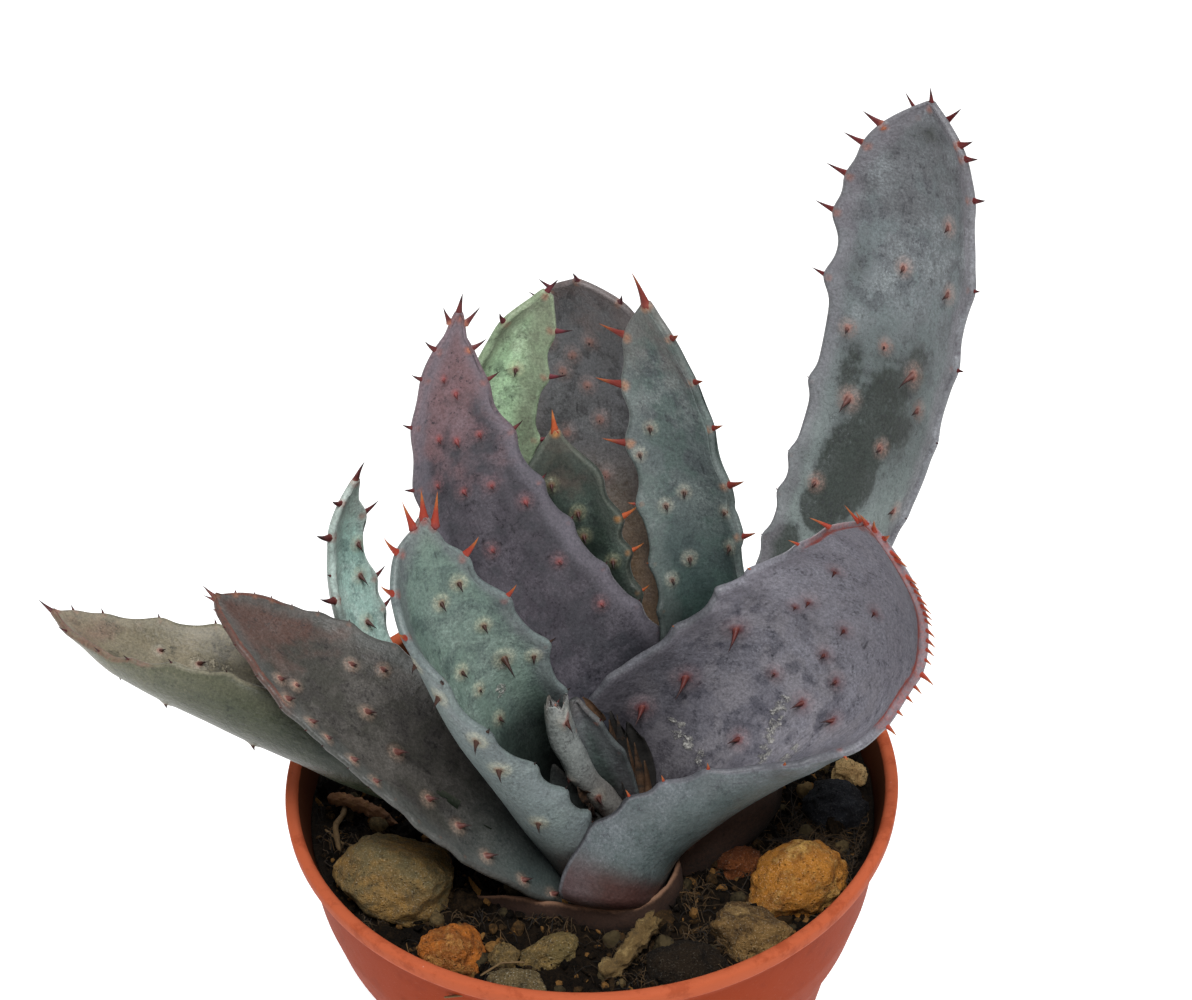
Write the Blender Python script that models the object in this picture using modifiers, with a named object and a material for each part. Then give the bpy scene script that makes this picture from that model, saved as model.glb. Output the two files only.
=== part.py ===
"""Potted aloe: thirteen toothed leaves on a short stem, in soil with stones, in a 70 mm pot.

Lengths below are in millimetres and are turned into metres where the meshes are made.
The origin is the centre of the pot's underside, and +Z is up.
"""
import math

import bmesh
import bpy
from mathutils import Matrix, Vector, noise
from mathutils.bvhtree import BVHTree

MM = 0.001
GAP = 0.3
SWELL = 0.42

POT_HEIGHT = 62.0
RIM_RADIUS = 35.0
LIP_HEIGHT = 2.0
WALL = 0.8
FLOOR = 1.4
POT_STEPS = 36
# Outer radius of the wall at each height, from under the lip down to the foot.
POT_WALL = ((60.0, 33.8), (50.0, 32.5), (45.0, 31.2), (40.5, 29.2), (28.0, 26.6), (1.2, 22.4), (0.0, 21.6))

SOIL_TOP = 57.0
SOIL_RINGS = 5
SOIL_SEGMENTS = 30
SOIL_ROUGHNESS = 0.7

CROWN = (1.5, -11.5)
# Radius of the stem at each height, with the collar that the oldest leaf base leaves at the soil.
STEM = ((64.0, 2.0), (62.5, 4.2), (60.0, 5.6), (58.6, 6.8),
        (57.6, 7.2), (56.0, 6.6), (52.0, 5.6), (47.0, 5.0))
STEM_STEPS = 16
HOLE_RADIUS_LOW = 6.2
HOLE_RADIUS_TOP = 11.0

RINGS = 11
ACROSS = 6
EDGE = 0.8
TIP_T = 0.985
SPINE_SIDES = 3
SPINE_ROOT = 0.9

# One leaf each, from the heart of the rosette outwards. The midrib is a Bezier curve. Roll and fold
# are angles in radians at the base, middle and tip, where fold is how far the blade curls up on each
# side. The blade is base_width of half_width wide at its base and widest at widest. A margin's teeth
# are fractions of the leaf's length, and a prickle is such a fraction and a place across from -1 to 1.
LEAVES = {
    "leaf_stub": dict(
        midrib=((1.5, -10, 64.5), (-2.5, -8.5, 67), (-6, -13.5, 80), (-4, -11, 82)),
        half_width=3.0, base_width=0.95, widest=0.6, blunt=3.0, roll=(-0.25, -0.45, -0.65),
        fold=(0.85, 0.7, 0.55), thick=(2.2, 2.0), tooth=1.2, spine=0.0,
        left=(0.6, 0.9), right=(0.5, 0.95), face=((0.7, 0.0),), under=((0.8, 0.0),)),
    "leaf_heart": dict(
        midrib=((2.5, -9, 64), (1, -8, 65.5), (-1.5, -8.5, 71.5), (-2, -7, 77)),
        half_width=2.2, base_width=0.9, widest=0.4, blunt=1.4, roll=(0.05, 0.05, 0.0),
        fold=(1.1, 0.95, 0.8), thick=(1.6, 1.0), rings=7, tooth=1.0, spine=1.2,
        left=(0.7,), right=(0.6, 0.85), face=(), under=()),
    "leaf_inner": dict(
        midrib=((3, -4.5, 63), (1, 9.7, 83.1), (-1, 7.2, 80), (-2.8, 13.1, 99.7)),
        half_width=6.7, base_width=0.8, widest=0.5, blunt=1.9, roll=(0.2, 0.0, -0.3),
        fold=(0.9, 0.6, 0.25), thick=(2.6, 1.2), tooth=2.8, spine=3.4,
        left=(0.62, 0.76, 0.9), right=(0.45, 0.62, 0.76, 0.9),
        face=((0.89, -0.3), (0.8, 0.2), (0.72, 0.2), (0.6, 0.6)),
        under=((0.85, 0.1), (0.7, -0.1), (0.55, 0.1))),
    "leaf_front": dict(
        midrib=((-1, -13.5, 59.5), (-7, -13, 68), (-15.5, -13, 87.5), (-16, -7, 103)),
        half_width=9.4, base_width=0.67, widest=0.52, blunt=1.25, roll=(0.65, -0.05, -0.85),
        fold=(1.65, 1.6, 0.35), bias=-0.24, skew=(0.1, 0.0), thick=(2.6, 1.2), tooth=2.8, spine=3.2,
        left=(0.24, 0.36, 0.47, 0.6, 0.72, 0.81, 0.88, 0.94, 0.97), right=(0.3, 0.47, 0.62, 0.78, 0.9, 0.96),
        face=((0.85, 0.5), (0.81, 0.1), (0.73, 0.5), (0.66, 0.0), (0.63, 0.5), (0.6, 0.1)),
        under=((0.3, -0.45), (0.45, -0.5), (0.58, -0.45), (0.7, -0.3), (0.62, 0.3), (0.8, 0.1))),
    "leaf_broad": dict(
        midrib=((0.4, -4.4, 62), (17.1, 0.2, 75.9), (-19.5, 3.2, 82.4), (-12, 9.3, 117.2)),
        half_width=7.5, base_width=0.7, widest=0.4, blunt=2.7, roll=(0.1, -0.3, -0.2),
        fold=(0.5, 0.5, 0.25), thick=(3.0, 1.2), tooth=2.1, spine=2.2,
        left=(0.5, 0.62, 0.72, 0.81, 0.88, 0.93, 0.96),
        right=(0.36, 0.43, 0.53, 0.64, 0.74, 0.84, 0.92, 0.96),
        face=((0.92, -0.2), (0.9, 0.1), (0.85, -0.4), (0.83, 0.0), (0.82, 0.4), (0.79, -0.6), (0.76, -0.1),
              (0.74, 0.3), (0.68, 0.7), (0.68, -0.2), (0.6, 0.5), (0.48, 0.6)),
        under=((0.9, 0.0), (0.8, 0.3), (0.78, -0.3), (0.68, 0.0), (0.55, -0.3))),
    "leaf_green": dict(
        midrib=((-1, -3.5, 62), (0.5, 6, 80.5), (-21, 16.5, 91.5), (-3, 17.5, 114.5)),
        half_width=4.3, base_width=0.7, widest=0.65, blunt=2.0, roll=(0.0, 0.27, 0.54),
        fold=(0.9, 0.8, 0.7), thick=(2.4, 1.2), tooth=2.4, spine=2.6,
        left=(0.55, 0.7, 0.84, 0.94), right=(0.56, 0.72, 0.88, 0.96),
        face=((0.87, 0.4), (0.75, 0.0)), under=((0.85, 0.0), (0.7, 0.1), (0.55, -0.1))),
    "leaf_right": dict(
        midrib=((4.5, -3.5, 62), (17.5, 2, 74.5), (14.5, 10.5, 88.5), (7, 13, 115.5)),
        half_width=5.7, base_width=0.5, widest=0.67, blunt=2.2, roll=(0.6, 0.0, -0.9),
        fold=(1.0, 0.85, 0.4), thick=(2.6, 1.2), tooth=3.3, spine=4.4,
        left=(0.45, 0.56, 0.68, 0.79, 0.88, 0.95), right=(0.5, 0.6, 0.7, 0.8, 0.88, 0.95),
        face=((0.81, -0.6), (0.77, -0.9), (0.69, -0.2), (0.67, -0.6), (0.56, -0.3)),
        under=((0.86, 0.1), (0.76, -0.2), (0.68, 0.3), (0.58, 0.0))),
    "leaf_narrow": dict(
        midrib=((-3, -6, 60), (-13.5, -7, 62), (-32.5, 10, 75.5), (-24.5, 10.5, 95.5)),
        half_width=4.4, base_width=0.7, widest=0.56, blunt=2.3, roll=(0.2, 0.2, 0.2),
        fold=(1.2, 0.8, 0.45), thick=(2.4, 1.2), tooth=2.8, spine=3.2,
        left=(0.5, 0.65, 0.77, 0.82, 0.9, 0.96), right=(0.55, 0.7, 0.77, 0.92),
        face=((0.79, 0.4), (0.69, 0.2)), under=((0.85, 0.1), (0.72, 0.0), (0.6, 0.1))),
    "leaf_spoon": dict(
        midrib=((4.5, -14.5, 57.5), (7, -7, 69.5), (38.5, 0, 74.5), (28, -12, 104)),
        half_width=14.4, base_width=0.9, widest=0.5, blunt=1.5, roll=(-0.1, 0.6, 1.1),
        fold=(1.8, 1.6, 0.3), bias=0.16, skew=(-0.1, -0.1), thick=(2.8, 1.4), tooth=2.0, spine=3.0,
        left=(0.3, 0.47, 0.65, 0.78, 0.86, 0.92, 0.95, 0.975),
        right=(0.11, 0.19, 0.26, 0.35, 0.5, 0.62, 0.72, 0.82, 0.87, 0.9, 0.92, 0.94, 0.955, 0.97),
        face=((0.91, -0.2), (0.83, -0.4), (0.88, 0.4), (0.82, 0.1), (0.74, 0.0), (0.66, -0.75), (0.41, -0.75),
              (0.61, -0.3), (0.72, 0.2), (0.59, 0.0), (0.66, 0.5), (0.41, -0.1), (0.26, -0.6), (0.31, -0.2)),
        under=((0.3, 0.5), (0.38, 0.5), (0.5, 0.1), (0.66, 0.4), (0.76, 0.0), (0.86, -0.2))),
    "leaf_back": dict(
        midrib=((1, -3.5, 60), (-1.5, 6, 72), (4, 33.5, 94.5), (0, 25.5, 111)),
        half_width=7.6, base_width=0.54, widest=0.73, blunt=2.4, roll=(0.5, -0.15, -0.8),
        fold=(0.3, 0.25, 0.2), thick=(2.8, 1.3), tooth=2.0, spine=2.2,
        left=(0.5, 0.6, 0.7, 0.78, 0.86, 0.92, 0.96), right=(0.5, 0.6, 0.7, 0.78, 0.86, 0.92, 0.96),
        face=((0.81, -0.2), (0.76, -0.4), (0.74, 0.0), (0.68, 0.2), (0.83, -0.6), (0.84, 0.1), (0.58, 0.2),
              (0.58, 0.7)),
        under=((0.86, 0.2), (0.8, -0.3), (0.72, 0.1), (0.62, -0.2))),
    "leaf_low": dict(
        midrib=((0, -13, 58), (-10, -14, 67.5), (-26, -6.5, 80), (-40, 1, 88)),
        half_width=8.9, base_width=0.57, widest=0.45, blunt=1.75, roll=(-0.6, -0.2, 0.15),
        fold=(1.0, 0.6, 0.15), thick=(3.0, 1.2), tooth=1.1, spine=2.0,
        left=(0.32, 0.38, 0.43, 0.49, 0.54, 0.59, 0.65, 0.69, 0.75, 0.82, 0.89, 0.93, 0.97),
        right=(0.5, 0.58, 0.66, 0.76, 0.82, 0.87, 0.91, 0.94, 0.97),
        face=((0.76, -0.5), (0.62, 0.0), (0.54, -0.2), (0.48, -0.4), (0.43, -0.6), (0.65, 0.6), (0.36, -0.6)),
        under=((0.85, 0.0), (0.7, 0.2), (0.55, -0.2), (0.42, 0.1))),
    "leaf_left": dict(
        midrib=((-3, -9, 58), (-22, -11, 74.5), (-40, 0, 69.5), (-59, 5, 83.5)),
        half_width=10.5, base_width=0.66, widest=0.68, blunt=0.91, roll=(0.08, 0.12, 0.19),
        fold=(1.2, 1.7, 0.2), bias=-0.3, skew=(0.27, -0.18), thick=(3.0, 1.2), tooth=1.5, spine=2.4,
        left=(0.45, 0.55, 0.65, 0.75, 0.83, 0.89, 0.96), right=(0.5, 0.6, 0.7, 0.76, 0.85, 0.93, 0.97),
        face=((0.82, 0.4), (0.75, 0.4), (0.82, 0.8), (0.6, 0.3)),
        under=((0.85, -0.3), (0.75, -0.4), (0.7, 0.2), (0.58, -0.3), (0.5, 0.1))),
    "leaf_tall": dict(
        midrib=((5, -8, 59), (19.5, 3.5, 62.5), (40, 21.5, 91), (37.5, 22.5, 133)),
        half_width=10.0, base_width=0.63, widest=0.75, blunt=2.3, roll=(-0.43, -0.18, 0.07),
        fold=(0.36, 0.5, 0.66), bias=0.11, thick=(3.2, 1.3), tooth=2.9, spine=2.2,
        left=(0.4, 0.49, 0.55, 0.6, 0.69, 0.81, 0.88, 0.92, 0.955, 0.98),
        right=(0.4, 0.5, 0.6, 0.69, 0.77, 0.85, 0.93, 0.965, 0.98),
        face=((0.9, 0.4), (0.84, -0.1), (0.83, 0.6), (0.76, -0.7), (0.76, -0.2), (0.74, 0.3), (0.68, -0.6),
              (0.7, 0.5), (0.65, 0.1), (0.58, -0.6), (0.6, 0.8), (0.5, 0.3)),
        under=((0.9, 0.0), (0.82, 0.4), (0.8, -0.3), (0.7, 0.1), (0.62, -0.4), (0.56, 0.3), (0.46, 0.0))),
}

# Centre and half sizes of each stone, its turn about Z in degrees and its colour.
STONES = {
    "stone_olive": ((-21.7, -14.0, 58.6), (7.6, 5.2, 4.2), -12, 2, (0.24, 0.22, 0.13)),
    "stone_orange": ((-15.6, -24.0, 57.8), (3.4, 2.9, 2.9), 10, 2, (0.38, 0.20, 0.09)),
    "stone_moss": ((-4.8, -24.0, 57.2), (3.2, 2.1, 1.9), 25, 2, (0.25, 0.24, 0.14)),
    "stone_pea": ((-9.8, -24.6, 57.2), (1.6, 1.7, 1.7), 0, 2, (0.27, 0.23, 0.14)),
    "stone_speckled": ((-8.2, -29.0, 57.4), (3.4, 2.3, 2.1), -20, 2, (0.26, 0.25, 0.19)),
    "stone_ochre": ((22.6, -15.6, 58.4), (6.4, 4.2, 4.0), 28, 2, (0.45, 0.30, 0.12)),
    "stone_brown": ((16.6, -22.6, 57.6), (4.3, 3.2, 3.0), -15, 2, (0.30, 0.25, 0.17)),
    "stone_slate": ((28.0, -3.6, 57.6), (3.4, 3.4, 3.0), 0, 2, (0.10, 0.10, 0.12)),
    "stone_rust": ((15.8, -11.6, 57.4), (3.0, 2.0, 2.0), 15, 2, (0.36, 0.15, 0.05)),
    "stone_cream": ((30.2, 2.2, 57.4), (1.9, 1.9, 1.7), 0, 2, (0.66, 0.50, 0.30)),
    "clod": ((9.2, -26.6, 57.2), (4.6, 3.2, 2.4), 20, 2, (0.09, 0.06, 0.04)),
}

# Middle line of each piece of litter, its radius and its colour.
LITTER = {
    "twig": (((-30.5, 0.4, 58.1), (-27.8, -0.8, 58.4), (-25.0, -2.4, 58.2), (-22.8, -4.0, 57.7)), 0.9,
             (0.42, 0.22, 0.09)),
    "moss_stem": (((0.6, -28.2, 58.2), (2.8, -26.6, 58.8), (4.6, -24.4, 59.6), (6.4, -22.4, 60.6)), 1.1,
                  (0.30, 0.25, 0.12)),
}

COLOURS = {
    "pot": (0.48, 0.13, 0.05),
    "soil": (0.06, 0.04, 0.02),
    "stem": (0.16, 0.08, 0.07),
    "leaf_tall": (0.24, 0.28, 0.29),
    "leaf_spoon": (0.24, 0.22, 0.27),
    "leaf_front": (0.22, 0.31, 0.29),
    "leaf_low": (0.19, 0.16, 0.17),
    "leaf_left": (0.23, 0.24, 0.19),
    "leaf_narrow": (0.16, 0.29, 0.26),
    "leaf_broad": (0.22, 0.18, 0.21),
    "leaf_green": (0.22, 0.36, 0.22),
    "leaf_back": (0.17, 0.17, 0.18),
    "leaf_right": (0.18, 0.27, 0.26),
    "leaf_inner": (0.10, 0.16, 0.13),
    "leaf_stub": (0.27, 0.27, 0.28),
    "leaf_heart": (0.18, 0.24, 0.22),
}


def clear_scene():
    for item in list(bpy.data.objects):
        bpy.data.objects.remove(item, do_unlink=True)


def new_collection(name):
    group = bpy.data.collections.new(name)
    bpy.context.scene.collection.children.link(group)
    return group


def material(name, colour, roughness=0.6):
    made = bpy.data.materials.new(name)
    made.use_nodes = True
    shader = made.node_tree.nodes["Principled BSDF"]
    shader.inputs["Base Color"].default_value = (*colour, 1.0)
    shader.inputs["Roughness"].default_value = roughness
    shader.inputs["Metallic"].default_value = 0.0
    return made


def add_object(name, bm, group, colour=None, roughness=0.6):
    """Makes an object of a bmesh, with its faces pointing out, and frees the bmesh."""
    bmesh.ops.recalc_face_normals(bm, faces=bm.faces)
    mesh = bpy.data.meshes.new(name)
    bm.to_mesh(mesh)
    bm.free()
    made = bpy.data.objects.new(name, mesh)
    group.objects.link(made)
    if colour is not None:
        mesh.materials.append(material(name, colour, roughness))
        mesh.shade_smooth()
        mesh.set_sharp_from_angle(angle=math.radians(40))
    return made


def hide_cutter(item):
    item.hide_render = True
    item.display_type = "WIRE"


def apply_modifiers(item):
    """Replaces the object's mesh by its evaluated one and drops the modifiers."""
    bpy.context.view_layer.update()
    evaluated = item.evaluated_get(bpy.context.evaluated_depsgraph_get())
    mesh = bpy.data.meshes.new_from_object(evaluated)
    old = item.data
    item.modifiers.clear()
    item.data = mesh
    bpy.data.meshes.remove(old)


def keep_largest(item):
    """Drops the loose scraps that a cut leaves, so that the object is one body."""
    bm = bmesh.new()
    bm.from_mesh(item.data)
    unseen = set(bm.verts)
    largest = set()
    while unseen:
        body = {unseen.pop()}
        front = list(body)
        while front:
            for edge in front.pop().link_edges:
                for vert in edge.verts:
                    if vert in unseen:
                        unseen.remove(vert)
                        body.add(vert)
                        front.append(vert)
        if len(body) > len(largest):
            largest = body
    bmesh.ops.delete(bm, geom=[v for v in bm.verts if v not in largest], context="VERTS")
    bm.to_mesh(item.data)
    bm.free()


def cut(item, cutters, operation="DIFFERENCE", solver="EXACT"):
    for cutter in cutters:
        modifier = item.modifiers.new(cutter.name, "BOOLEAN")
        modifier.operation = operation
        modifier.solver = solver
        modifier.object = cutter
    apply_modifiers(item)


def through(values, t):
    """Quadratic through the values at 0, one half and 1."""
    low, middle, high = values
    return low * (1 - t) * (1 - 2 * t) + 4 * middle * t * (1 - t) + high * t * (2 * t - 1)


def midrib_point(leaf, t):
    a, b, c, d = (Vector(p) for p in leaf["midrib"])
    return a * (1 - t) ** 3 + b * 3 * t * (1 - t) ** 2 + c * 3 * t * t * (1 - t) + d * t ** 3


def midrib_tangent(leaf, t):
    a, b, c, d = (Vector(p) for p in leaf["midrib"])
    slope = (b - a) * (1 - t) ** 2 + (c - b) * 2 * t * (1 - t) + (d - c) * t * t
    return slope.normalized()


def outline(leaf, t):
    """Half width at t as a fraction of the widest."""
    base, widest = leaf["base_width"], leaf["widest"]
    if t < widest:
        return base + (1 - base) * math.sin(math.pi / 2 * t / widest)
    share = min(1.0, (t - widest) / (1 - widest)) ** leaf["blunt"]
    return max(0.0, math.cos(math.pi / 2 * share)) ** 0.8


def frame(leaf, t):
    """Side and inner normal of the blade at its midrib."""
    tangent = midrib_tangent(leaf, t)
    reach = Vector(leaf["midrib"][3]) - Vector(leaf["midrib"][0])
    level = Vector((reach.x, reach.y, 0)).normalized()
    hint = Vector((0, 0, 0.8)) - level
    normal = (hint - tangent * hint.dot(tangent)).normalized()
    side = tangent.cross(normal)
    turn = through(leaf["roll"], t)
    return side * math.cos(turn) - normal * math.sin(turn), normal * math.cos(turn) + side * math.sin(turn)


def blade(leaf, t, u):
    """Point of the inner face at t along and u across, with its outward normal there."""
    side, normal = frame(leaf, t)
    sign = math.copysign(1.0, u) if u else 0.0
    skew = leaf.get("skew", (0.0, 0.0))
    width = leaf["half_width"] * outline(leaf, t) * (1 + (skew[0] + (skew[1] - skew[0]) * t) * sign)
    bend = max(0.05, through(leaf["fold"], t)) * (1 + leaf.get("bias", 0.0) * sign)
    across = width * math.sin(u * bend) / bend
    rise = width * (1 - math.cos(u * bend)) / bend
    point = midrib_point(leaf, t) + side * across + normal * rise
    return point, normal * math.cos(u * bend) - side * math.sin(u * bend)


def thickness(leaf, t, u):
    root, tip = leaf["thick"]
    middle = (root + (tip - root) * t) * min(1.0, 1.5 * outline(leaf, t))
    return EDGE + max(0.0, middle - EDGE) * (1 - u * u)


def stations(leaf):
    """Places along a leaf, closer together where the tip rounds off."""
    rings = leaf.get("rings", RINGS)
    steps = [i / rings for i in range(rings + 1)]
    return [TIP_T * (0.5 * s + 0.5 * math.sin(math.pi / 2 * s)) for s in steps]


def leaf_mesh(leaf, swell=0.0):
    """Loft of the blade: an inner and an outer face that meet along thin margins."""
    bm = bmesh.new()
    places = [2 * i / ACROSS - 1 for i in range(ACROSS + 1)]
    rings = []
    for t in stations(leaf):
        inner = []
        outer = []
        for u in places:
            point, normal = blade(leaf, t, u)
            inner.append(bm.verts.new(point * MM))
            outer.append(bm.verts.new((point - normal * thickness(leaf, t, u)) * MM))
        rings.append((inner, outer))
    for (inner, outer), (next_inner, next_outer) in zip(rings, rings[1:]):
        loop = inner + outer[::-1]
        next_loop = next_inner + next_outer[::-1]
        for i in range(len(loop)):
            j = (i + 1) % len(loop)
            split_quad(bm, loop[i], loop[j], next_loop[j], next_loop[i])
    for inner, outer in (rings[0], rings[-1]):
        for i in range(ACROSS):
            split_quad(bm, inner[i], inner[i + 1], outer[i + 1], outer[i])
    bmesh.ops.recalc_face_normals(bm, faces=bm.faces)
    if swell:
        bm.normal_update()
        moves = [vert.normal * swell * MM for vert in bm.verts]
        for vert, move in zip(bm.verts, moves):
            vert.co += move
    return bm


def split_quad(bm, a, b, c, d):
    """Two triangles on the shorter diagonal."""
    if (a.co - c.co).length < (b.co - d.co).length:
        bm.faces.new((a, b, c))
        bm.faces.new((a, c, d))
    else:
        bm.faces.new((a, b, d))
        bm.faces.new((b, c, d))


def spine_size(leaf, t):
    """Length of a margin tooth, which grows towards the tip."""
    return leaf["tooth"] * (0.32 + 0.68 * min(1.0, max(0.0, (t - 0.4) / 0.45)))


def margin_spine(leaf, t, sign):
    t = min(t, 0.975)
    point, normal = blade(leaf, t, sign)
    ahead = blade(leaf, min(t + 0.01, 0.99), sign)[0] - blade(leaf, t - 0.01, sign)[0]
    away = point - blade(leaf, t, sign * 0.6)[0]
    out = ahead.cross(normal).normalized()
    if out.dot(away) < 0:
        out = -out
    out = (out + 0.15 * ahead.normalized()).normalized()
    return point - normal * thickness(leaf, t, sign) * 0.5, out, spine_size(leaf, t)


def face_spine(leaf, t, u, outer):
    point, normal = blade(leaf, t, u)
    length = 0.55 * spine_size(leaf, 0.6) + 0.5
    lean = midrib_tangent(leaf, t) * 0.25
    if outer:
        return point - normal * thickness(leaf, t, u), (lean - normal).normalized(), length * 0.8
    return point, (lean + normal).normalized(), length


def leaf_spines(leaf):
    """Root, direction and length of each tooth and prickle of a leaf."""
    spines = [margin_spine(leaf, t, -1.0) for t in leaf["left"]]
    spines += [margin_spine(leaf, t, 1.0) for t in leaf["right"]]
    spines += [face_spine(leaf, t, u, False) for t, u in leaf["face"]]
    spines += [face_spine(leaf, t, u, True) for t, u in leaf["under"]]
    if leaf["spine"]:
        point, normal = blade(leaf, TIP_T, 0.0)
        root = point - normal * thickness(leaf, TIP_T, 0.0) * 0.5
        spines.append((root, midrib_tangent(leaf, 1.0), leaf["spine"]))
    return spines


def spine_is_clear(spine, trees):
    """Whether a spine stays out of the other leaves."""
    root, out, length = spine
    for step in range(5):
        place = (root + out * (length * (step / 4) - 0.3)) * MM
        for tree in trees:
            near, normal, _, distance = tree.find_nearest(place)
            inside = (place - near).dot(normal) < 0 and distance < 1.6 * MM
            if inside or distance < (2.2 * GAP + 0.2 * length * (1 - step / 4)) * MM:
                return False
    return True


def spine_object(name, spine, group):
    root, out, length = spine
    bm = bmesh.new()
    depth = length + SPINE_ROOT
    bmesh.ops.create_cone(bm, cap_ends=True, segments=SPINE_SIDES, radius1=(0.24 + 0.19 * length) * MM,
                          radius2=0.0, depth=depth * MM)
    bmesh.ops.remove_doubles(bm, verts=bm.verts, dist=0.005 * MM)
    turn = out.to_track_quat("Z", "Y").to_matrix().to_4x4()
    middle = root + out * (depth / 2 - SPINE_ROOT)
    bmesh.ops.transform(bm, verts=bm.verts, matrix=Matrix.Translation(middle * MM) @ turn)
    made = add_object(name, bm, group)
    hide_cutter(made)
    return made


def remove_all(items):
    for item in items:
        mesh = item.data
        bpy.data.objects.remove(item, do_unlink=True)
        bpy.data.meshes.remove(mesh)


def build_leaves(parts, cutters):
    """Builds the leaves from the heart outwards: each outer leaf gives way to the inner ones."""
    trees = {}
    for name, leaf in LEAVES.items():
        bm = leaf_mesh(leaf)
        trees[name] = BVHTree.FromBMesh(bm)
        bm.free()
    swollen = []
    for name, leaf in LEAVES.items():
        made = add_object(name, leaf_mesh(leaf), parts, COLOURS[name], 0.55)
        cut(made, swollen)
        keep_largest(made)
        others = [tree for other, tree in trees.items() if other != name]
        group = new_collection(name + "_spines")
        clear = [spine for spine in leaf_spines(leaf) if spine_is_clear(spine, others)]
        spines = [spine_object(f"{name}_spine_{i}", spine, group) for i, spine in enumerate(clear)]
        join = made.modifiers.new("spines", "BOOLEAN")
        join.operation = "UNION"
        join.operand_type = "COLLECTION"
        join.collection = group
        join.solver = "EXACT"
        apply_modifiers(made)
        keep_largest(made)
        remove_all(spines)
        bpy.data.collections.remove(group)
        cutter = add_object(name + "_room", leaf_mesh(leaf, SWELL), cutters)
        hide_cutter(cutter)
        swollen.append(cutter)
    return swollen


def turned(name, profile, steps, group, roughness):
    """Turns a profile of radii and heights, from its top down its outer side, about Z."""
    bm = bmesh.new()
    verts = [bm.verts.new((radius * MM, 0.0, height * MM)) for radius, height in profile]
    for first, second in zip(verts, verts[1:]):
        bm.edges.new((first, second))
    mesh = bpy.data.meshes.new(name)
    bm.to_mesh(mesh)
    bm.free()
    made = bpy.data.objects.new(name, mesh)
    group.objects.link(made)
    mesh.materials.append(material(name, COLOURS[name], roughness))
    screw = made.modifiers.new("turn", "SCREW")
    screw.steps = steps
    screw.render_steps = steps
    screw.use_merge_vertices = True
    screw.merge_threshold = 0.00002
    return made


def build_pot(parts):
    """Turned shell: floor, inner wall, lip with its thin ridge, outer wall and underside."""
    profile = [(0.0, FLOOR), (inner_radius(FLOOR), FLOOR)]
    profile += [(radius - WALL, height) for height, radius in POT_WALL[::-1] if height > FLOOR]
    profile += [(33.3, POT_HEIGHT - 0.1), (34.5, POT_HEIGHT - 0.1), (34.8, POT_HEIGHT),
                (RIM_RADIUS, POT_HEIGHT - 0.3), (RIM_RADIUS - 0.1, POT_HEIGHT - LIP_HEIGHT)]
    profile += [(radius, height) for height, radius in POT_WALL]
    profile += [(0.0, 0.0)]
    return turned("pot", profile, POT_STEPS, parts, 0.5)


def inner_radius(height):
    """Inner radius of the pot at a height."""
    for (high, high_radius), (low, low_radius) in zip(POT_WALL, POT_WALL[1:]):
        if low <= height <= high:
            share = (height - low) / (high - low)
            return low_radius + (high_radius - low_radius) * share - WALL
    return POT_WALL[0][1] - WALL


def soil_height(x, y):
    rough = noise.noise(Vector((x * 0.22, y * 0.22, 3.1)))
    rough += 0.5 * noise.noise(Vector((x * 0.5, y * 0.5, 7.7)))
    return SOIL_TOP + SOIL_ROUGHNESS * rough


def build_soil(parts, cutters):
    """Rough top on a plug that follows the pot's inside."""
    bm = bmesh.new()
    turns = [2 * math.pi * i / SOIL_SEGMENTS for i in range(SOIL_SEGMENTS)]
    edge = inner_radius(SOIL_TOP) - 0.45
    centre = bm.verts.new((0.0, 0.0, soil_height(0.0, 0.0) * MM))
    rings = []
    for i in range(1, SOIL_RINGS + 1):
        radius = edge * i / SOIL_RINGS
        ring = []
        for turn in turns:
            x = radius * math.cos(turn)
            y = radius * math.sin(turn)
            ring.append(bm.verts.new((x * MM, y * MM, soil_height(x, y) * MM)))
        rings.append(ring)
    for height in (50.0, 45.0, 40.5, 28.0, FLOOR + GAP + 0.1):
        radius = inner_radius(height) - 0.45
        places = [(radius * math.cos(turn), radius * math.sin(turn), height) for turn in turns]
        rings.append([bm.verts.new(Vector(place) * MM) for place in places])
    for i in range(SOIL_SEGMENTS):
        j = (i + 1) % SOIL_SEGMENTS
        bm.faces.new((centre, rings[0][i], rings[0][j]))
        for ring, following in zip(rings, rings[1:]):
            split_quad(bm, ring[i], ring[j], following[j], following[i])
    bm.faces.new(rings[-1][::-1])
    made = add_object("soil", bm, parts, COLOURS["soil"], 0.95)
    hole = bmesh.new()
    top = SOIL_TOP + 3.0
    bottom = STEM[-1][0] - GAP
    bmesh.ops.create_cone(hole, cap_ends=True, segments=20, radius1=HOLE_RADIUS_LOW * MM,
                          radius2=HOLE_RADIUS_TOP * MM, depth=(top - bottom) * MM)
    middle = Vector((CROWN[0], CROWN[1], (top + bottom) / 2))
    bmesh.ops.translate(hole, verts=hole.verts, vec=middle * MM)
    cutter = add_object("soil_hole", hole, cutters)
    hide_cutter(cutter)
    cut(made, [cutter] + [item for item in cutters.objects if item.name.endswith("_dimple")])
    keep_largest(made)
    return made


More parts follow.
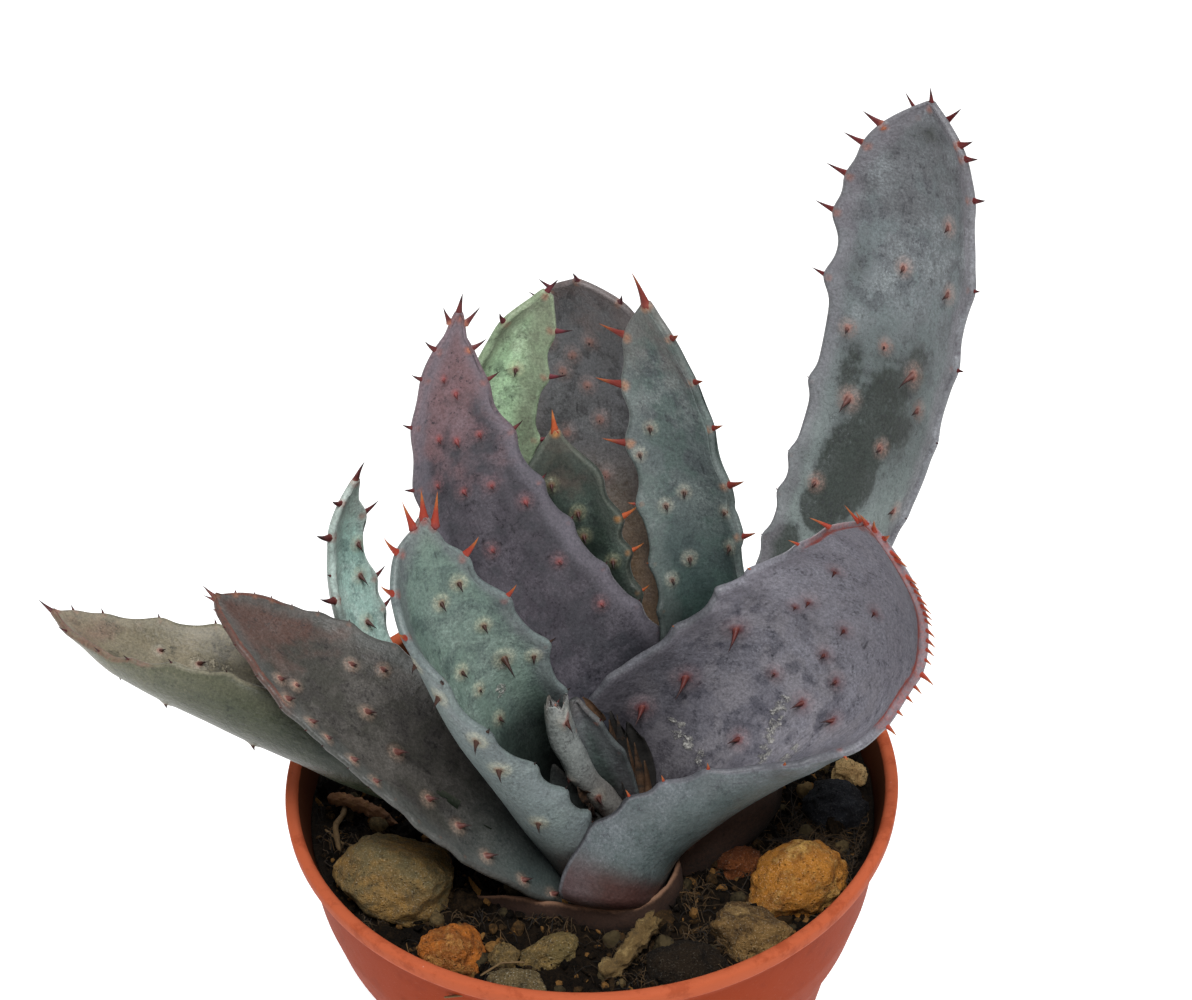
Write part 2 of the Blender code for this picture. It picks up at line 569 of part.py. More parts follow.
def stone_mesh(name, centre, half, turn, subdivisions, swell=0.0):
    """Rounded lump with flats: a sphere whose surface is pushed in by seeded noise."""
    bm = bmesh.new()
    bmesh.ops.create_icosphere(bm, subdivisions=subdivisions, radius=1.0)
    seed = Vector((sum(map(ord, name)) * 0.37, 1.7, 4.2))
    for vert in bm.verts:
        way = vert.co.normalized()
        lump = 1.0 + 0.16 * noise.noise(way * 1.3 + seed) + 0.07 * noise.noise(way * 3.1 + seed)
        lump = min(lump, 1.03 + 0.04 * noise.noise(way * 2.0 - seed))
        reach = Vector([half[axis] + swell for axis in range(3)])
        vert.co = way * reach * lump
    spin = Matrix.Rotation(math.radians(turn), 4, "Z")
    bmesh.ops.transform(bm, verts=bm.verts, matrix=Matrix.Translation(Vector(centre)) @ spin)
    bmesh.ops.scale(bm, verts=bm.verts, vec=(MM, MM, MM))
    return bm


def build_stones(parts, cutters):
    for name, (centre, half, turn, subdivisions, colour) in STONES.items():
        add_object(name, stone_mesh(name, centre, half, turn, subdivisions), parts, colour, 0.9)
        room = add_object(name + "_dimple", stone_mesh(name, centre, half, turn, subdivisions, 0.38), cutters)
        hide_cutter(room)


def tube_mesh(points, radius, sides=6):
    """Bent stick through the points, a little thinner at its ends."""
    bm = bmesh.new()
    rings = []
    for i, point in enumerate(points):
        before = Vector(points[max(i - 1, 0)])
        after = Vector(points[min(i + 1, len(points) - 1)])
        along = (after - before).normalized()
        side = along.cross(Vector((0, 0, 1))).normalized()
        up = side.cross(along)
        girth = radius * (0.75 if i in (0, len(points) - 1) else 1.0)
        turns = [2 * math.pi * k / sides for k in range(sides)]
        rings.append([bm.verts.new((Vector(point) + (side * math.cos(a) + up * math.sin(a)) * girth) * MM)
                      for a in turns])
    for ring, following in zip(rings, rings[1:]):
        for i in range(sides):
            j = (i + 1) % sides
            bm.faces.new((ring[i], ring[j], following[j], following[i]))
    bm.faces.new(rings[0][::-1])
    bm.faces.new(rings[-1])
    return bm


def build_litter(parts, cutters):
    for name, (points, radius, colour) in LITTER.items():
        add_object(name, tube_mesh(points, radius), parts, colour, 0.9)
        room = add_object(name + "_dimple", tube_mesh(points, radius + 0.4), cutters)
        hide_cutter(room)


def build_stem(parts, swollen):
    """Short stem that carries the leaves, cut back where their bases lie on it."""
    profile = [(0.0, STEM[0][0])] + [(radius, height) for height, radius in STEM] + [(0.0, STEM[-1][0])]
    made = turned("stem", profile, STEM_STEPS, parts, 0.7)
    made.location = (CROWN[0] * MM, CROWN[1] * MM, 0.0)
    apply_modifiers(made)
    cut(made, swollen)
    keep_largest(made)
    return made


def main():
    clear_scene()
    parts = new_collection("potted_aloe")
    cutters = new_collection("cutters")
    build_pot(parts)
    build_stones(parts, cutters)
    build_litter(parts, cutters)
    build_soil(parts, cutters)
    swollen = build_leaves(parts, cutters)
    build_stem(parts, swollen)
    remove_all(list(cutters.objects))


main()
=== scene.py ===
"""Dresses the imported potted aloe: fine leaves with their thorns, the pot, the soil and its stones.

Lengths are in millimetres until a mesh is made, and the origin is the centre of the pot's underside.
A leaf's places are t along it, from base to tip, and u across it, from -1 to 1.
"""
import math

import bmesh
import bpy
import numpy as np
from mathutils import Matrix, Vector, noise
from mathutils.bvhtree import BVHTree


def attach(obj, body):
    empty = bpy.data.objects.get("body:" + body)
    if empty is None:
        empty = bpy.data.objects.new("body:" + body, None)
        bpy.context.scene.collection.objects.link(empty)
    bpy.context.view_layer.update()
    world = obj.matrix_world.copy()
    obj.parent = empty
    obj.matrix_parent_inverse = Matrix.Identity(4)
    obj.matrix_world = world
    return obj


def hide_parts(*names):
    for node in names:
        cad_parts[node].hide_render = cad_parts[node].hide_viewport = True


bl_info = {
    "name": "Potted Aloe",
    "version": (1, 0, 0),
    "blender": (4, 5, 0),
    "location": "3D View > Sidebar > Aloe",
    "description": "Builds the leaves, thorns, pot, soil and stones of a potted aloe on its packed model",
    "category": "Object",
}

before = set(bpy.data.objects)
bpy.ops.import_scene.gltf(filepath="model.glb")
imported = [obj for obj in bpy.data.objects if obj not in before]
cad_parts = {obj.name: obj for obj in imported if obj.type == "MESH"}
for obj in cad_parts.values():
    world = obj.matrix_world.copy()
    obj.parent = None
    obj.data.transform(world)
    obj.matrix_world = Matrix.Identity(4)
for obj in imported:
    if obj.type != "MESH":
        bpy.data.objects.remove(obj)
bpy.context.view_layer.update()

SOIL_SEED = 11
LITTER_SEED = 23
MM = 0.001
# A full turn, as the seeded draws use it.
TURN = 6.28
# Thickness of a leaf at its margin.
EDGE = 0.7
# Where along a leaf its blade ends, its spine stands and the last teeth are set.
BLADE_END = 0.9995
SPINE_ROOT = 0.994
LAST_TOOTH = 0.975
# How far outside the leaf's own solid its skin may lie.
STRAY = 1.0
# How far the first ray that looks for shelter goes, and the second from just behind a near face. Coarse is
# the number of places along and across the leaf that such rays start from.
SHELTER_REACH = 24
SECOND_REACH = 20
COARSE = (34, 9)
WALL = 0.8
FLOOR = 1.4
# Outer radius of the pot's wall at each height, from under the lip down to the foot.
POT_WALL = ((60.0, 33.8), (50.0, 32.5), (45.0, 31.2), (40.5, 29.2), (28.0, 26.6), (1.2, 22.4), (0.0, 21.6))
SOIL_TOP = 57.0
CROWN = (1.5, -11.5)
PEAT_DARK = (0.006, 0.004, 0.0025)
PEAT_MIDDLE = (0.020, 0.012, 0.006)
STEM = ((64.0, 2.0), (62.5, 4.2), (60.0, 5.6), (58.6, 6.8),
        (57.6, 7.2), (56.0, 6.6), (52.0, 5.6), (47.0, 5.0))

# Each leaf's shape, its teeth along both margins and the prickles on its inner and under face.
# Ramp is where along the leaf its teeth start to grow, where they are longest and how long the shortest
# are. Crown is the turn, the share and the place beside it of each spine by the tip's. Sizes makes single
# teeth longer or shorter. A prickle is t, u and, where it is given, its own length.
LEAVES = {
    "leaf_stub": dict(
        midrib=((2.0, -10.6, 65.0), (-0.8, -11.0, 69.5), (-4.0, -11.8, 75.0), (-3.5, -11.4, 82.0)),
        half_width=1.75, base_width=0.85, widest=0.85, blunt=3.0, roll=(1.3, 1.2, 1.0),
        fold=(1.7, 1.9, 2.0), thick=(0.7, 0.6), tooth=1.2, spine=0.0, left=(0.5, 0.72, 0.93),
        right=(0.62, 0.9), face=(), under=((0.86, -0.5, 1.6), (0.42, 0.3, 0.8), (0.2, -0.2, 1.4)), end=0.95,
        ragged=1.6, inset=0.0, wave=0.8, lobes=0.9, rim_edge=0.6, bulge=0.3),
    "leaf_heart": dict(
        midrib=((2.6, -9.4, 62.0), (2.2, -9.4, 67.5), (0.6, -8.8, 72.5), (-1.4, -8.4, 79.2)),
        half_width=2.7, base_width=0.9, widest=0.3, blunt=1.4, roll=(-1.25, -1.2, -1.1),
        fold=(0.7, 0.7, 0.8), thick=(1.3, 0.8), tooth=1.0, spine=1.2, left=(0.7,), right=(0.6, 0.85),
        face=(), under=(), inset=0.1, wave=0.9, rim_edge=0.7),
    "leaf_inner": dict(
        midrib=((3, -4.5, 63), (1, 9.7, 83.1), (-1, 7.2, 80), (-2.8, 13.1, 99.7)), half_width=6.7,
        base_width=0.8, widest=0.5, blunt=1.9, roll=(0.2, 0.0, -0.3), fold=(0.9, 0.6, 0.25),
        thick=(2.6, 1.2), tooth=2.8, spine=2.8, left=(0.62, 0.76, 0.9), right=(0.45, 0.62, 0.76, 0.9),
        face=((0.89, -0.3), (0.8, 0.2), (0.72, 0.2), (0.6, 0.6)),
        under=((0.85, 0.1), (0.7, -0.1), (0.55, 0.1)), ramp=(0.3, 0.8, 0.4), prickle=0.8, inset=0.3,
        trims=((0.6, 16.0, 0.0, -1.4),)),
    "leaf_front": dict(
        midrib=((-1, -13.5, 59.5), (-7, -13, 68), (-15.5, -13, 87.5), (-16, -7, 103)), half_width=9.4,
        base_width=0.67, widest=0.52, blunt=1.25, roll=(0.65, -0.05, -0.85), fold=(1.65, 1.6, 0.35),
        bias=-0.24, skew=(0.1, 0.0), thick=(2.6, 1.2), tooth=2.8, spine=3.2,
        left=(0.24, 0.36, 0.47, 0.6, 0.72, 0.81, 0.88, 0.94), right=(0.3, 0.47, 0.62, 0.78, 0.9),
        face=((0.845, 0.43, 1.1), (0.815, 0.03, 1.1), (0.73, 0.48, 1.0), (0.655, 0.0, 0.9),
              (0.63, 0.53, 2.3), (0.605, 0.85, 1.0), (0.505, 0.2, 0.8), (0.595, 0.12, 0.5)),
        under=((0.755, -0.9, 1.3), (0.69, -0.9, 1.7), (0.59, -0.9, 1.8), (0.5, -0.8, 1.8),
               (0.315, -0.62, 1.4)), ramp=(0.5, 0.9, 0.45), crown=((0.2, 1.0, 1.0), (-0.35, 0.85, 1.1)),
        hook=0.2, lobes=1.7, dull=0.76, rim_edge=1.0,
        trims=((0.85, 7.0, 0.0, -1.6), (0.97, 4.0, -0.8, -0.8))),
    "leaf_broad": dict(
        midrib=((0.4, -4.4, 62), (17.1, 0.2, 75.9), (-19.5, 3.2, 82.4), (-12, 9.3, 117.2)), half_width=7.5,
        base_width=0.7, widest=0.4, blunt=2.7, roll=(0.1, -0.3, -0.2), fold=(0.5, 0.5, 0.25),
        thick=(3.0, 1.2), tooth=2.1, spine=2.9, left=(0.5, 0.62, 0.72, 0.81, 0.88, 0.93, 0.96),
        right=(0.36, 0.43, 0.53, 0.64, 0.74, 0.84, 0.92, 0.96),
        face=((0.93, -0.35, 0.6), (0.91, 0.0, 0.8), (0.86, -0.45, 0.7), (0.85, -0.1, 0.9),
              (0.85, 0.35, 0.7), (0.805, -0.62, 0.6), (0.78, -0.2, 0.8), (0.77, 0.25, 0.6),
              (0.72, 0.62, 0.8), (0.595, 0.53, 0.6), (0.68, -0.2, 0.6), (0.48, 0.6, 0.6)),
        under=((0.9, 0.0), (0.8, 0.3), (0.78, -0.3), (0.68, 0.0), (0.55, -0.3)), ramp=(0.6, 0.9, 0.45),
        prickle=0.75, stout=1.2, halo_size=1.2, crown=((-0.6, 0.6, 0.8), (0.7, 0.75, 0.9)), splay=0.5,
        trims=((0.0, 9.0, -2.2, -2.2), (0.85, 8.0, -0.2, -0.5), (0.96, 5.0, -0.9, -0.9))),
    "leaf_green": dict(
        midrib=((-1, -3.5, 62), (0.5, 6, 80.5), (-21, 16.5, 91.5), (-3, 17.5, 114.5)), half_width=4.3,
        base_width=0.7, widest=0.65, blunt=2.0, roll=(0.0, 0.27, 0.54), fold=(0.9, 0.8, 0.7),
        thick=(2.4, 1.2), tooth=2.4, spine=2.6, left=(0.55, 0.7, 0.84, 0.94),
        right=(0.56, 0.72, 0.88, 0.96), face=((0.87, 0.4), (0.75, 0.0)),
        under=((0.85, 0.0), (0.7, 0.1), (0.55, -0.1)), inset=0.2, trims=((0.8, 14.0, -1.0, 0.6),)),
    "leaf_right": dict(
        midrib=((4.5, -3.5, 62), (17.5, 2, 74.5), (14.5, 10.5, 88.5), (7, 13, 115.5)), half_width=5.7,
        base_width=0.5, widest=0.67, blunt=2.2, roll=(0.6, 0.0, -0.9), fold=(1.0, 0.85, 0.4),
        thick=(2.6, 1.2), tooth=3.3, spine=4.4, left=(0.45, 0.56, 0.68, 0.79, 0.88, 0.95),
        right=(0.5, 0.6, 0.7, 0.8, 0.88, 0.95),
        face=((0.81, -0.6, 0.8), (0.77, -0.9, 0.7), (0.69, -0.2, 0.8), (0.67, -0.6, 0.8), (0.56, -0.3, 0.9),
              (0.58, 0.62, 0.9), (0.65, 0.65, 0.6), (0.52, -0.75, 0.7)),
        under=((0.86, 0.1), (0.76, -0.2), (0.68, 0.3), (0.58, 0.0)), ramp=(0.35, 0.75, 0.3), prickle=0.8,
        hook=0.15, inset=0.4, splay=0.5,
        sizes={("right", 0.95): 0.9, ("right", 0.88): 0.8, ("right", 0.8): 0.7, ("left", 0.68): 0.5,
               ("left", 0.95): 1.05, ("left", 0.56): 0.4, ("left", 0.45): 0.4},
        trims=((0.86, 7.0, -0.7, -1.3), (0.6, 12.0, 0.2, -0.8), (0.74, 15.0, 0.0, -1.7))),
    "leaf_narrow": dict(
        midrib=((-3, -6, 60), (-13.5, -7, 62), (-32.5, 10, 75.5), (-24.5, 10.5, 95.5)), half_width=4.4,
        base_width=0.7, widest=0.56, blunt=2.3, roll=(0.2, 0.2, 0.2), fold=(1.2, 0.8, 0.45),
        thick=(2.4, 1.2), tooth=2.8, spine=3.2, left=(0.5, 0.65, 0.77, 0.82, 0.9, 0.96),
        right=(0.55, 0.7, 0.77, 0.92), face=((0.79, 0.30, 1.4), (0.69, 0.10, 1.4), (0.86, 0.4, 1.2)),
        under=((0.85, 0.1), (0.72, 0.0), (0.6, 0.1)), prickle=0.9, inset=0.8, splay=0.85,
        trims=((0.6, 30.0, -0.7, -1.2),),
        sizes={("left", 0.9): 1.3, ("left", 0.77): 1.4, ("left", 0.82): 0.5}),
    "leaf_spoon": dict(
        midrib=((4.5, -14.5, 57.5), (7, -7, 69.5), (38.5, 0, 74.5), (28, -12, 104)), half_width=14.4,
        base_width=0.9, widest=0.5, blunt=1.5, roll=(-0.1, 0.6, 1.1), fold=(1.8, 1.6, 0.3), bias=0.16,
        skew=(-0.1, -0.1), thick=(2.8, 1.4), tooth=2.0, spine=2.8,
        left=(0.3, 0.47, 0.65, 0.78, 0.895, 0.955),
        right=(0.11, 0.19, 0.26, 0.35, 0.5, 0.62, 0.72, 0.82, 0.87, 0.9, 0.92, 0.94, 0.955, 0.97),
        face=((0.565, -0.7, 2.5), (0.4, -0.65, 2.9), (0.3, -0.7, 2.4), (0.855, -0.45, 0.8),
              (0.745, -0.45, 0.8), (0.715, -0.5, 0.6), (0.73, -0.1, 0.8), (0.655, -0.1, 0.8),
              (0.81, 0.07, 0.7), (0.545, -0.25, 0.6), (0.635, 0.12, 0.8), (0.55, 0.05, 1.5),
              (0.59, 0.4, 1.3), (0.4, -0.07, 1.5)), under=((0.5, 0.1), (0.66, 0.4), (0.76, 0.0)),
        ramp=(0.3, 0.8, 0.35), hook=-0.1, flare=("right", 0.6, 0.8), rim_edge=1.1, stout=1.0,
        crown=((-0.55, 1.0, 0.9), (-0.2, 0.8, 0.5), (0.3, 0.95, 0.7), (0.7, 0.8, 1.6)),
        sizes={("left", 0.955): 1.4, ("left", 0.895): 0.85, ("left", 0.78): 0.5, ("left", 0.65): 0.5,
               ("right", 0.72): 1.3, ("right", 0.82): 1.3, ("right", 0.11): 2.2, ("right", 0.19): 2.2,
               ("right", 0.26): 2.2, ("right", 0.35): 2.0, ("right", 0.5): 1.2}, halo_size=1.3,
        trims=((0.28, 9.0, 1.6, 0.0), (0.8, 9.0, 0.0, -0.7), (0.2, 16.0, 0.0, 1.3), (0.0, 6.0, 0.0, 1.6)),
        more_right=(0.745, 0.77, 0.795, 0.84, 0.855, 0.885, 0.91, 0.93, 0.948, 0.985)),
    "leaf_back": dict(
        midrib=((1, -3.5, 60), (-1.5, 6, 72), (4, 33.5, 94.5), (0, 25.5, 111)), half_width=7.6,
        base_width=0.54, widest=0.73, blunt=2.4, roll=(0.5, -0.15, -0.8), fold=(0.3, 0.25, 0.2),
        thick=(2.8, 1.3), tooth=2.0, spine=2.2, left=(0.5, 0.6, 0.7, 0.78, 0.86, 0.92, 0.96),
        right=(0.5, 0.6, 0.7, 0.78, 0.86, 0.92, 0.96),
        face=((0.77, -0.47, 0.4), (0.805, -0.3, 0.4), (0.84, 0.03, 0.5), (0.83, -0.7, 0.4),
              (0.745, -0.07, 0.4), (0.68, 0.12, 0.4), (0.655, -0.42, 0.3), (0.58, 0.2, 0.4)),
        under=((0.86, 0.2), (0.8, -0.3), (0.72, 0.1), (0.62, -0.2)), prickle=0.7, inset=0.3, halo_size=1.5,
        trims=((0.92, 5.0, -1.4, 0.0), (0.38, 12.0, 0.0, 2.2))),
    "leaf_low": dict(
        midrib=((0, -13, 58), (-10, -14, 67.5), (-26, -6.5, 80), (-40, 1, 88)), half_width=8.9,
        base_width=0.57, widest=0.45, blunt=1.75, roll=(-0.6, -0.2, 0.15), fold=(1.0, 0.6, 0.15),
        thick=(3.0, 1.2), tooth=1.1, spine=2.0,
        left=(0.32, 0.38, 0.43, 0.49, 0.54, 0.59, 0.65, 0.69, 0.75, 0.82, 0.89, 0.93, 0.97),
        right=(0.5, 0.58, 0.66, 0.76, 0.82, 0.87, 0.91, 0.94, 0.97),
        face=((0.625, -0.05, 1.2), (0.535, -0.27, 1.5), (0.435, -0.52, 1.2), (0.355, -0.57, 1.4),
              (0.275, -0.75, 1.2), (0.18, -0.85, 1.0), (0.1, -0.9, 0.9), (0.76, -0.52, 0.6),
              (0.755, -0.88, 1.1), (0.695, -0.9, 0.9), (0.655, -0.93, 0.7), (0.595, -0.93, 0.9),
              (0.54, -0.95, 0.8), (0.79, -0.7, 0.9), (0.705, 0.43, 0.8), (0.65, 0.62, 0.8)),
        under=((0.85, 0.0), (0.7, 0.2), (0.55, -0.2), (0.42, 0.1)), ramp=(0.4, 0.95, 0.5), prickle=1.1,
        stout=1.25, crown=((-0.5, 0.7, 0.4),), lobes=1.3, rim_edge=0.8, splay=0.75, dull=0.72),
    "leaf_left": dict(
        midrib=((-3, -9, 58), (-22, -11, 74.5), (-40, 0, 69.5), (-59, 5, 83.5)), half_width=10.5,
        base_width=0.66, widest=0.68, blunt=0.91, roll=(0.08, 0.12, 0.19), fold=(1.2, 1.7, 0.2), bias=-0.3,
        skew=(0.27, -0.18), thick=(3.0, 1.2), tooth=1.5, spine=2.4,
        left=(0.45, 0.55, 0.65, 0.75, 0.83, 0.89, 0.96), right=(0.5, 0.6, 0.7, 0.76, 0.85, 0.93, 0.97),
        face=((0.82, 0.38, 0.8), (0.75, 0.4, 1.2), (0.72, 0.03, 0.8), (0.645, 0.1, 0.6)),
        under=((0.85, -0.3), (0.75, -0.4), (0.7, 0.2), (0.58, -0.3), (0.5, 0.1)), ramp=(0.5, 0.95, 0.4),
        prickle=0.8, covered=0.5),
    "leaf_tall": dict(
        midrib=((5, -8, 59), (19.5, 3.5, 62.5), (40, 21.5, 91), (37.5, 22.5, 133)), half_width=10.0,
        base_width=0.63, widest=0.75, blunt=2.3, roll=(-0.43, -0.18, 0.07), fold=(0.36, 0.5, 0.66),
        bias=0.11, thick=(3.2, 1.3), tooth=2.9, spine=2.5,
        left=(0.4, 0.49, 0.55, 0.6, 0.69, 0.81, 0.88, 0.92, 0.955, 0.98),
        right=(0.4, 0.5, 0.6, 0.69, 0.77, 0.85, 0.93, 0.965, 0.98),
        face=((0.895, 0.43, 0.8), (0.84, -0.15, 0.8), (0.835, 0.6, 0.9), (0.76, -0.72, 0.8),
              (0.755, -0.2, 0.5), (0.74, 0.3, 1.9), (0.685, -0.5, 1.9), (0.71, 0.55, 0.9), (0.65, 0.1, 0.8),
              (0.58, -0.6, 0.8), (0.6, 0.8, 0.8), (0.5, 0.3, 0.8)),
        under=((0.9, 0.0), (0.82, 0.4), (0.8, -0.3), (0.7, 0.1), (0.62, -0.4), (0.56, 0.3), (0.46, 0.0)),
        ramp=(0.72, 0.88, 0.34), stout=1.2, halo_size=1.3, hook=0.1, splay=0.65, lobes=1.6,
        crown=((-0.75, 1.05, 1.5), (0.9, 1.05, 1.6)), sizes={("right", 0.85): 0.6},
        trims=((0.93, 6.0, -0.3, -1.3), (0.8, 14.0, 0.0, -0.7))),
}

# Each stone's middle, its half sizes and its turn in degrees.
STONES = {
    "stone_olive": ((-21.7, -14.0, 58.6), (7.6, 5.2, 4.2), -12),
    "stone_orange": ((-15.6, -24.0, 57.8), (3.4, 2.9, 2.9), 10),
    "stone_moss": ((-4.8, -24.0, 57.2), (3.2, 2.1, 1.9), 25),
    "stone_pea": ((-9.8, -24.6, 57.2), (1.6, 1.7, 1.7), 0),
    "stone_speckled": ((-8.2, -29.0, 57.4), (3.4, 2.3, 2.1), -20),
    "stone_ochre": ((22.6, -15.6, 58.4), (6.4, 4.2, 4.0), 28),
    "stone_brown": ((16.6, -22.6, 57.6), (4.3, 3.2, 3.0), -15),
    "stone_slate": ((28.0, -3.6, 57.6), (3.4, 3.4, 3.0), 0),
    "stone_rust": ((15.8, -11.6, 57.4), (3.0, 2.0, 2.0), 15),
    "stone_cream": ((30.2, 2.2, 57.4), (1.9, 1.9, 1.7), 0),
    "clod": ((9.2, -26.6, 57.2), (4.6, 3.2, 2.4), 20),
}

# Middle lines of the twig, the mossy stem and the straws, whose heights are over the soil.
TWIG = ((-30.5, 0.4, 58.1), (-27.8, -0.8, 58.4), (-25.0, -2.4, 58.2), (-22.8, -4.0, 57.7))
MOSS_STEM = ((0.6, -28.2, 58.2), (2.8, -26.6, 58.8), (4.6, -24.4, 59.6), (6.4, -22.4, 60.6))
STRAWS = (
    (((-12.4, -27.6, 0.6), (-10.0, -26.6, 1.4), (-7.6, -26.4, 1.0)), 0.12, 0.5),
    (((-28.4, 0.0, 0.8), (-28.6, -2.6, 1.4), (-29.4, -4.6, 1.2), (-28.8, -7.4, 0.9)), 0.34, 0.4),
    (((-30.6, -4.4, 0.5), (-28.4, -6.6, 0.9), (-26.0, -7.6, 0.4)), 0.14, 0.4),
    (((19.0, -26.0, 0.4), (21.6, -23.8, 1.0), (24.0, -21.4, 0.5)), 0.16, 0.5),
    (((-16.0, -30.0, 0.5), (-12.6, -30.6, 1.0), (-9.4, -31.2, 0.5)), 0.14, 0.6),
)

CAMERA_LENS = 66.44
CAMERA_PLACE = (0.0014974, -0.1876028, 0.2335734)
CAMERA_AXES = ((0.99953301, -0.01776544, -0.02486266), (0.03055753, 0.58110536, 0.81325445),
               (0.0, -0.81363441, 0.58137685))

# The leaf's colours, and the marks on its inner face. A patch is t, u, its half sizes along and across
# in millimetres and its strength. A scar is a row of places. Blush from is where along the leaf its left
# and right rim turn red, and how wide the red is.
# Foot, its share and its end set a colour towards the leaf's base, and under foot and under base do the same
# on the under face: partly the base's own colour and partly painted shade deep in the crown. On leaf_left the
# under base is painted shade over most of its under face, and leaf_tall's pale foot is partly its own colour
# and partly painted light. Recess is how much painted shade a leaf takes where the leaves round it close it
# in.
PLAIN_SKIN = dict(
    main=(0.15, 0.18, 0.17), second=(0.12, 0.13, 0.14), share=0.5, bloom=(0.34, 0.38, 0.38), dusting=0.5,
    under=(0.14, 0.17, 0.16), tip=(0.20, 0.10, 0.08), tip_share=0.3, tip_start=0.86,
    foot=(0.09, 0.08, 0.08), foot_share=0.6, foot_end=0.3, under_foot=(0.25, 0.0),
    under_base=(0.05, 0.025, 0.02), recess=0.6, rim=(0.34, 0.34, 0.33), rim_share=0.0,
    blush=(0.30, 0.08, 0.05), blush_from=(2.0, 2.0, 1.0), halo=(0.22, 0.09, 0.075), ring=(0.36, 0.33, 0.27),
    glow=(0.34, 0.13, 0.09), patch=(0.05, 0.055, 0.05), scar=(0.42, 0.41, 0.38), border=(0.19, 0.18, 0.20),
    border_share=0.4, streaks=0.25, dots=0.5,
    thorn=((0.42, 0.17, 0.11), (0.13, 0.022, 0.02), (0.028, 0.008, 0.01)),
    prickle=((0.32, 0.16, 0.10), (0.07, 0.022, 0.016), (0.018, 0.008, 0.008)), patches=(), scars=())

# The keys of a skin that are not inputs of its node group.
SHAPED = ("foot_end", "under_foot", "under_base", "blush_from", "thorn", "prickle", "patches", "scars")

